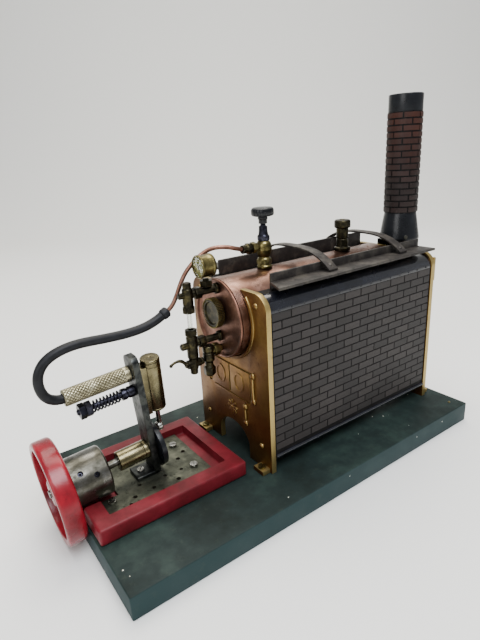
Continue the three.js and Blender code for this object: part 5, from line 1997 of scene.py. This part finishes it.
class STEAM_OT_water_gauge(bpy.types.Operator):
    """Make the water gauge: two fittings, the glass and the drain cock"""
    bl_idname = "steam.water_gauge"
    bl_label = "Water gauge"

    def execute(self, context):
        glass_low, glass_high = span("sight_glass")
        centre = (glass_low + glass_high) / 2
        at = (centre.x, centre.y, 0)
        low, high = span("sight_glass_top_fitting")
        face = high.x
        barrel = [
            (0, 170), (2.45, 170), (2.45, low.z), (4.6, low.z), (4.6, low.z + 5), (4.2, low.z + 6),
            (4.4, low.z + 7.5), (4.4, low.z + 19.5), (3.6, low.z + 20.5), (3.6, high.z - 0.6), (3, high.z),
            (0, high.z)
        ]
        top = Shape().turn(barrel, at=at, ease=0.3, sides=48)
        arm_z = 176.5
        top.turn(
            [
                (0, centre.x + 2), (3, centre.x + 2), (3, face - 3), (4.6, face - 2.4), (4.6, face),
                (0, face)
            ],
            "X", (0, centre.y, arm_z), 0.4, 40
        )
        top.turn([(0, low.x), (1.8, low.x), (2.6, low.x + 0.8), (2.6, centre.x - 3), (0, centre.x - 3)], "X",
                 (0, centre.y, arm_z), 0.3, 32)
        top.hexagon(9.6, low.z + 0.4, low.z + 4.6, "Z", at, 2.6)
        top.hexagon(8.8, centre.x + 6, centre.x + 12, "X", (0, centre.y, arm_z))
        finished(top, "water_gauge_top", "dark_brass", "frame", "sight_glass_top_fitting")
        self.make_lower(at, centre, face)
        glass = [(1.3, glass_low.z), (2.1, glass_low.z), (2.1, glass_high.z), (1.3, glass_high.z)]
        finished(
            Shape().turn(glass, at=at, ease=0.1, sides=40), "water_gauge_glass", "gauge_glass", "frame",
            "sight_glass"
        )
        self.make_cock(centre)
        return {"FINISHED"}

    def make_lower(self, at, centre, face):
        low, high = span("sight_glass_bottom_fitting")
        floor = 138.0
        lower = [
            (0, low.z), (2.4, low.z), (3.2, low.z + 0.7), (3.4, low.z + 4.6), (4, low.z + 5.5),
            (4, low.z + 14), (4.7, low.z + 15.5), (4.7, low.z + 33), (4.1, low.z + 34), (4.6, high.z - 5),
            (4.6, high.z), (2.45, high.z), (2.45, floor), (0, floor)
        ]
        base = Shape().turn(lower, at=at, ease=0.35, sides=48)
        base.turn(
            [
                (0, centre.x + 2), (3, centre.x + 2), (3, face - 3), (4.6, face - 2.4), (4.6, face),
                (0, face)
            ],
            "X", (0, centre.y, 134.5), 0.4, 40
        )
        base.turn([(0, low.x), (2.2, low.x), (3, low.x + 0.9), (3, centre.x - 3), (0, centre.x - 3)], "X",
                  (0, centre.y, 133.7), 0.3, 32)
        base.turn([(2.4, centre.x - 6), (3.8, centre.x - 6), (3.8, centre.x + 6), (2.4, centre.x + 6)], "X",
                  (0, centre.y, 117), 0.3, 40)
        base.hexagon(9.6, high.z - 4.6, high.z - 0.4, "Z", at, 2.6)
        base.hexagon(8.8, centre.x + 6, centre.x + 12, "X", (0, centre.y, 134.5))
        finished(base, "water_gauge_base", "dark_brass", "frame", "sight_glass_bottom_fitting")

    def make_cock(self, centre):
        low, high = span("drain_cock_lever")
        left, z = -86.0, 117.0
        plug = Shape().turn(
            [(0, left), (2.1, left), (2.1, high.x - 2.6), (3, high.x - 2.2), (3, high.x), (0, high.x)], "X",
            (0, centre.y, z), 0.3, 40
        )
        route = [(left + 0.8, centre.y, z), (left - 1.2, centre.y, z + 3.4), (left - 4.6, centre.y, z + 5.6),
                 (left - 9, centre.y, z + 5.6), (left - 14, centre.y, z + 3.6)]
        plug.sweep(smooth_path(route, 6), lambda t: 1.1 + 0.4 * math.sin(math.pi * min(1, t * 1.4)), 18)
        plug.ball(1.5, (low.x + 1.5, centre.y, z + 3.7))
        finished(plug, "drain_cock", "dark_brass", "drain_lever", "drain_cock_lever")


class STEAM_OT_pressure_gauge(bpy.types.Operator):
    """Make the pressure gauge with its dial, pointer and stem"""
    bl_idname = "steam.pressure_gauge"
    bl_label = "Pressure gauge"

    def execute(self, context):
        low, high = span("gauge_case")
        centre = (low + high) / 2
        at = (0, centre.y, centre.z)
        r = (high.z - low.z) / 2
        x0, x1 = low.x, high.x
        case = [
            (0, x1 - 1.5), (r - 1.2, x1 - 1.5), (r - 1.2, x0), (r - 0.4, x0), (r, x0 + 0.5), (r, x0 + 1.6),
            (r - 0.6, x0 + 2.2), (r - 0.6, x1 - 3.4), (r, x1 - 2.8), (r - 0.4, x1 - 1), (r - 2, x1), (0, x1)
        ]
        finished(Shape().turn(case, "X", at, 0.2, 96), "gauge_housing", "dull_brass", "frame", "gauge_case")
        low, high = span("gauge_dial")
        rd = (high.z - low.z) / 2
        dial = Shape().turn([(0, low.x), (rd, low.x), (rd, high.x), (0, high.x)], "X", at, 0.1, 64)
        finished(dial, "gauge_card", "dial_print", "frame", "gauge_dial")
        ticks = 28
        places = []
        for k in range(ticks + 1):
            angle = math.radians(-135 + 270 * k / ticks)
            out = Vector((0, -math.sin(angle), math.cos(angle)))
            reach = rd - (1.5 if k % 4 else 1.9)
            spot = Vector((low.x - 0.05, centre.y, centre.z)) + out * reach
            places.append((spot / 1000, Matrix.Rotation(angle, 3, "X").to_euler()))
        tick = Shape().block((-0.06, -0.1, -0.6), (0.06, 0.1, 0.6), 0)
        set_out("gauge_ticks", tick, places, "black_enamel", "frame")
        low, high = span("gauge_needle")
        lean = math.radians(-35)
        pointer = [(-0.55, -2.4), (0.55, -2.4), (0.4, 3.5), (0.12, 6.3), (-0.12, 6.3), (-0.4, 3.5)]
        turn = Matrix.Translation(Vector(at)) @ Matrix.Rotation(lean, 4, "X")
        needle = Shape().plate(pointer, [], low.x, high.x, "X", 0.1, turn)
        needle.turn([(0, low.x - 0.15), (1, low.x - 0.15), (1.1, high.x), (0, high.x)], "X", at, 0.1, 24)
        finished(needle, "gauge_pointer_needle", "black_enamel", "gauge_pointer", "gauge_needle")
        lens = Shape().turn(
            [(0, x0 + 0.15), (r - 1.3, x0 + 0.35), (r - 1.3, x0 + 0.6), (0, x0 + 0.45)], "X", at, 0, 64
        )
        finished(lens, "gauge_lens", "gauge_glass", "frame")
        low, high = span("gauge_stem")
        foot = middle("gauge_stem")
        stem = Shape().turn(
            [(0, low.z), (3.4, low.z), (3.4, low.z + 4), (2.6, low.z + 4.4), (2.6, high.z), (0, high.z)],
            at=(foot.x, foot.y, 0), ease=0.2, sides=40
        )
        stem.hexagon(9.6, low.z + 0.4, low.z + 5.4, "Z", (foot.x, foot.y, 0))
        finished(stem, "gauge_stem_nut", "dark_brass", "frame", "gauge_stem")
        return {"FINISHED"}


class STEAM_OT_check_valve(bpy.types.Operator):
    """Make the feed check valve"""
    bl_idname = "steam.check_valve"
    bl_label = "Check valve"

    def execute(self, context):
        low, high = span("check_valve")
        x, y, z = -63.0, (low.y + high.y) / 2, low.z
        body = [
            (0, z), (2.6, z), (3.4, z + 0.6), (4.4, z + 1.6), (4.4, z + 9), (3.6, z + 10), (3.6, z + 13),
            (5, z + 15), (5, z + 21), (4.2, z + 22), (5, z + 23.2), (5, high.z - 1), (4.2, high.z),
            (1.4, high.z), (1.1, high.z - 0.8), (0, high.z - 0.8)
        ]
        valve = Shape().turn(body, at=(x, y, 0), ease=0.3, sides=48)
        valve.hexagon(9.2, z + 2.2, z + 8.4, "Z", (x, y, 0), 0, 0.4)
        finished(valve, "check_valve_casting", "dark_brass", "frame", "check_valve")
        arm = [
            (0, x), (3, x), (3, x + 4.5), (4.6, x + 5.0), (4.6, x + 10.6), (3, x + 11), (3, high.x),
            (0, high.x)
        ]
        branch = Shape().turn(arm, "X", (0, y, 123.5), 0.4, 40)
        branch.hexagon(9.6, x + 5.6, x + 10.4, "X", (0, y, 123.5), 0, 0.1)
        finished(branch, "check_valve_union", "dull_brass", "frame")
        return {"FINISHED"}


# ---------------------------------------------------------------- add-on

ORDER = (
    STEAM_OT_stage, STEAM_OT_hose, STEAM_OT_board, STEAM_OT_bed, STEAM_OT_standard, STEAM_OT_crank,
    STEAM_OT_cylinder, STEAM_OT_piston, STEAM_OT_end_plates, STEAM_OT_casing, STEAM_OT_roof, STEAM_OT_drum,
    STEAM_OT_chimney, STEAM_OT_stop_valve, STEAM_OT_safety_valve, STEAM_OT_water_gauge,
    STEAM_OT_pressure_gauge, STEAM_OT_check_valve,
)
SETTINGS = (StageSettings, EngineSettings, BoilerSettings)


class STEAM_PT_panel(bpy.types.Panel):
    """The model steam engine's pieces and settings"""
    bl_idname = "STEAM_PT_panel"
    bl_label = "Steam Engine"
    bl_space_type = "VIEW_3D"
    bl_region_type = "UI"
    bl_category = "Steam Engine"

    def draw(self, context):
        for group in (context.scene.steam_stage, context.scene.steam_engine, context.scene.steam_boiler):
            for key in group.__annotations__:
                self.layout.prop(group, key)
        for operator in ORDER:
            self.layout.operator(operator.bl_idname)


def register():
    for each in (*SETTINGS, *ORDER, STEAM_PT_panel):
        bpy.utils.register_class(each)
    bpy.types.Scene.steam_stage = PointerProperty(type=StageSettings)
    bpy.types.Scene.steam_engine = PointerProperty(type=EngineSettings)
    bpy.types.Scene.steam_boiler = PointerProperty(type=BoilerSettings)


def unregister():
    del bpy.types.Scene.steam_boiler
    del bpy.types.Scene.steam_engine
    del bpy.types.Scene.steam_stage
    for each in reversed((*SETTINGS, *ORDER, STEAM_PT_panel)):
        bpy.utils.unregister_class(each)


def main():
    register()
    for operator in ORDER:
        group, call = operator.bl_idname.split(".")
        getattr(getattr(bpy.ops, group), call)()


if __name__ == "__main__":
    main()
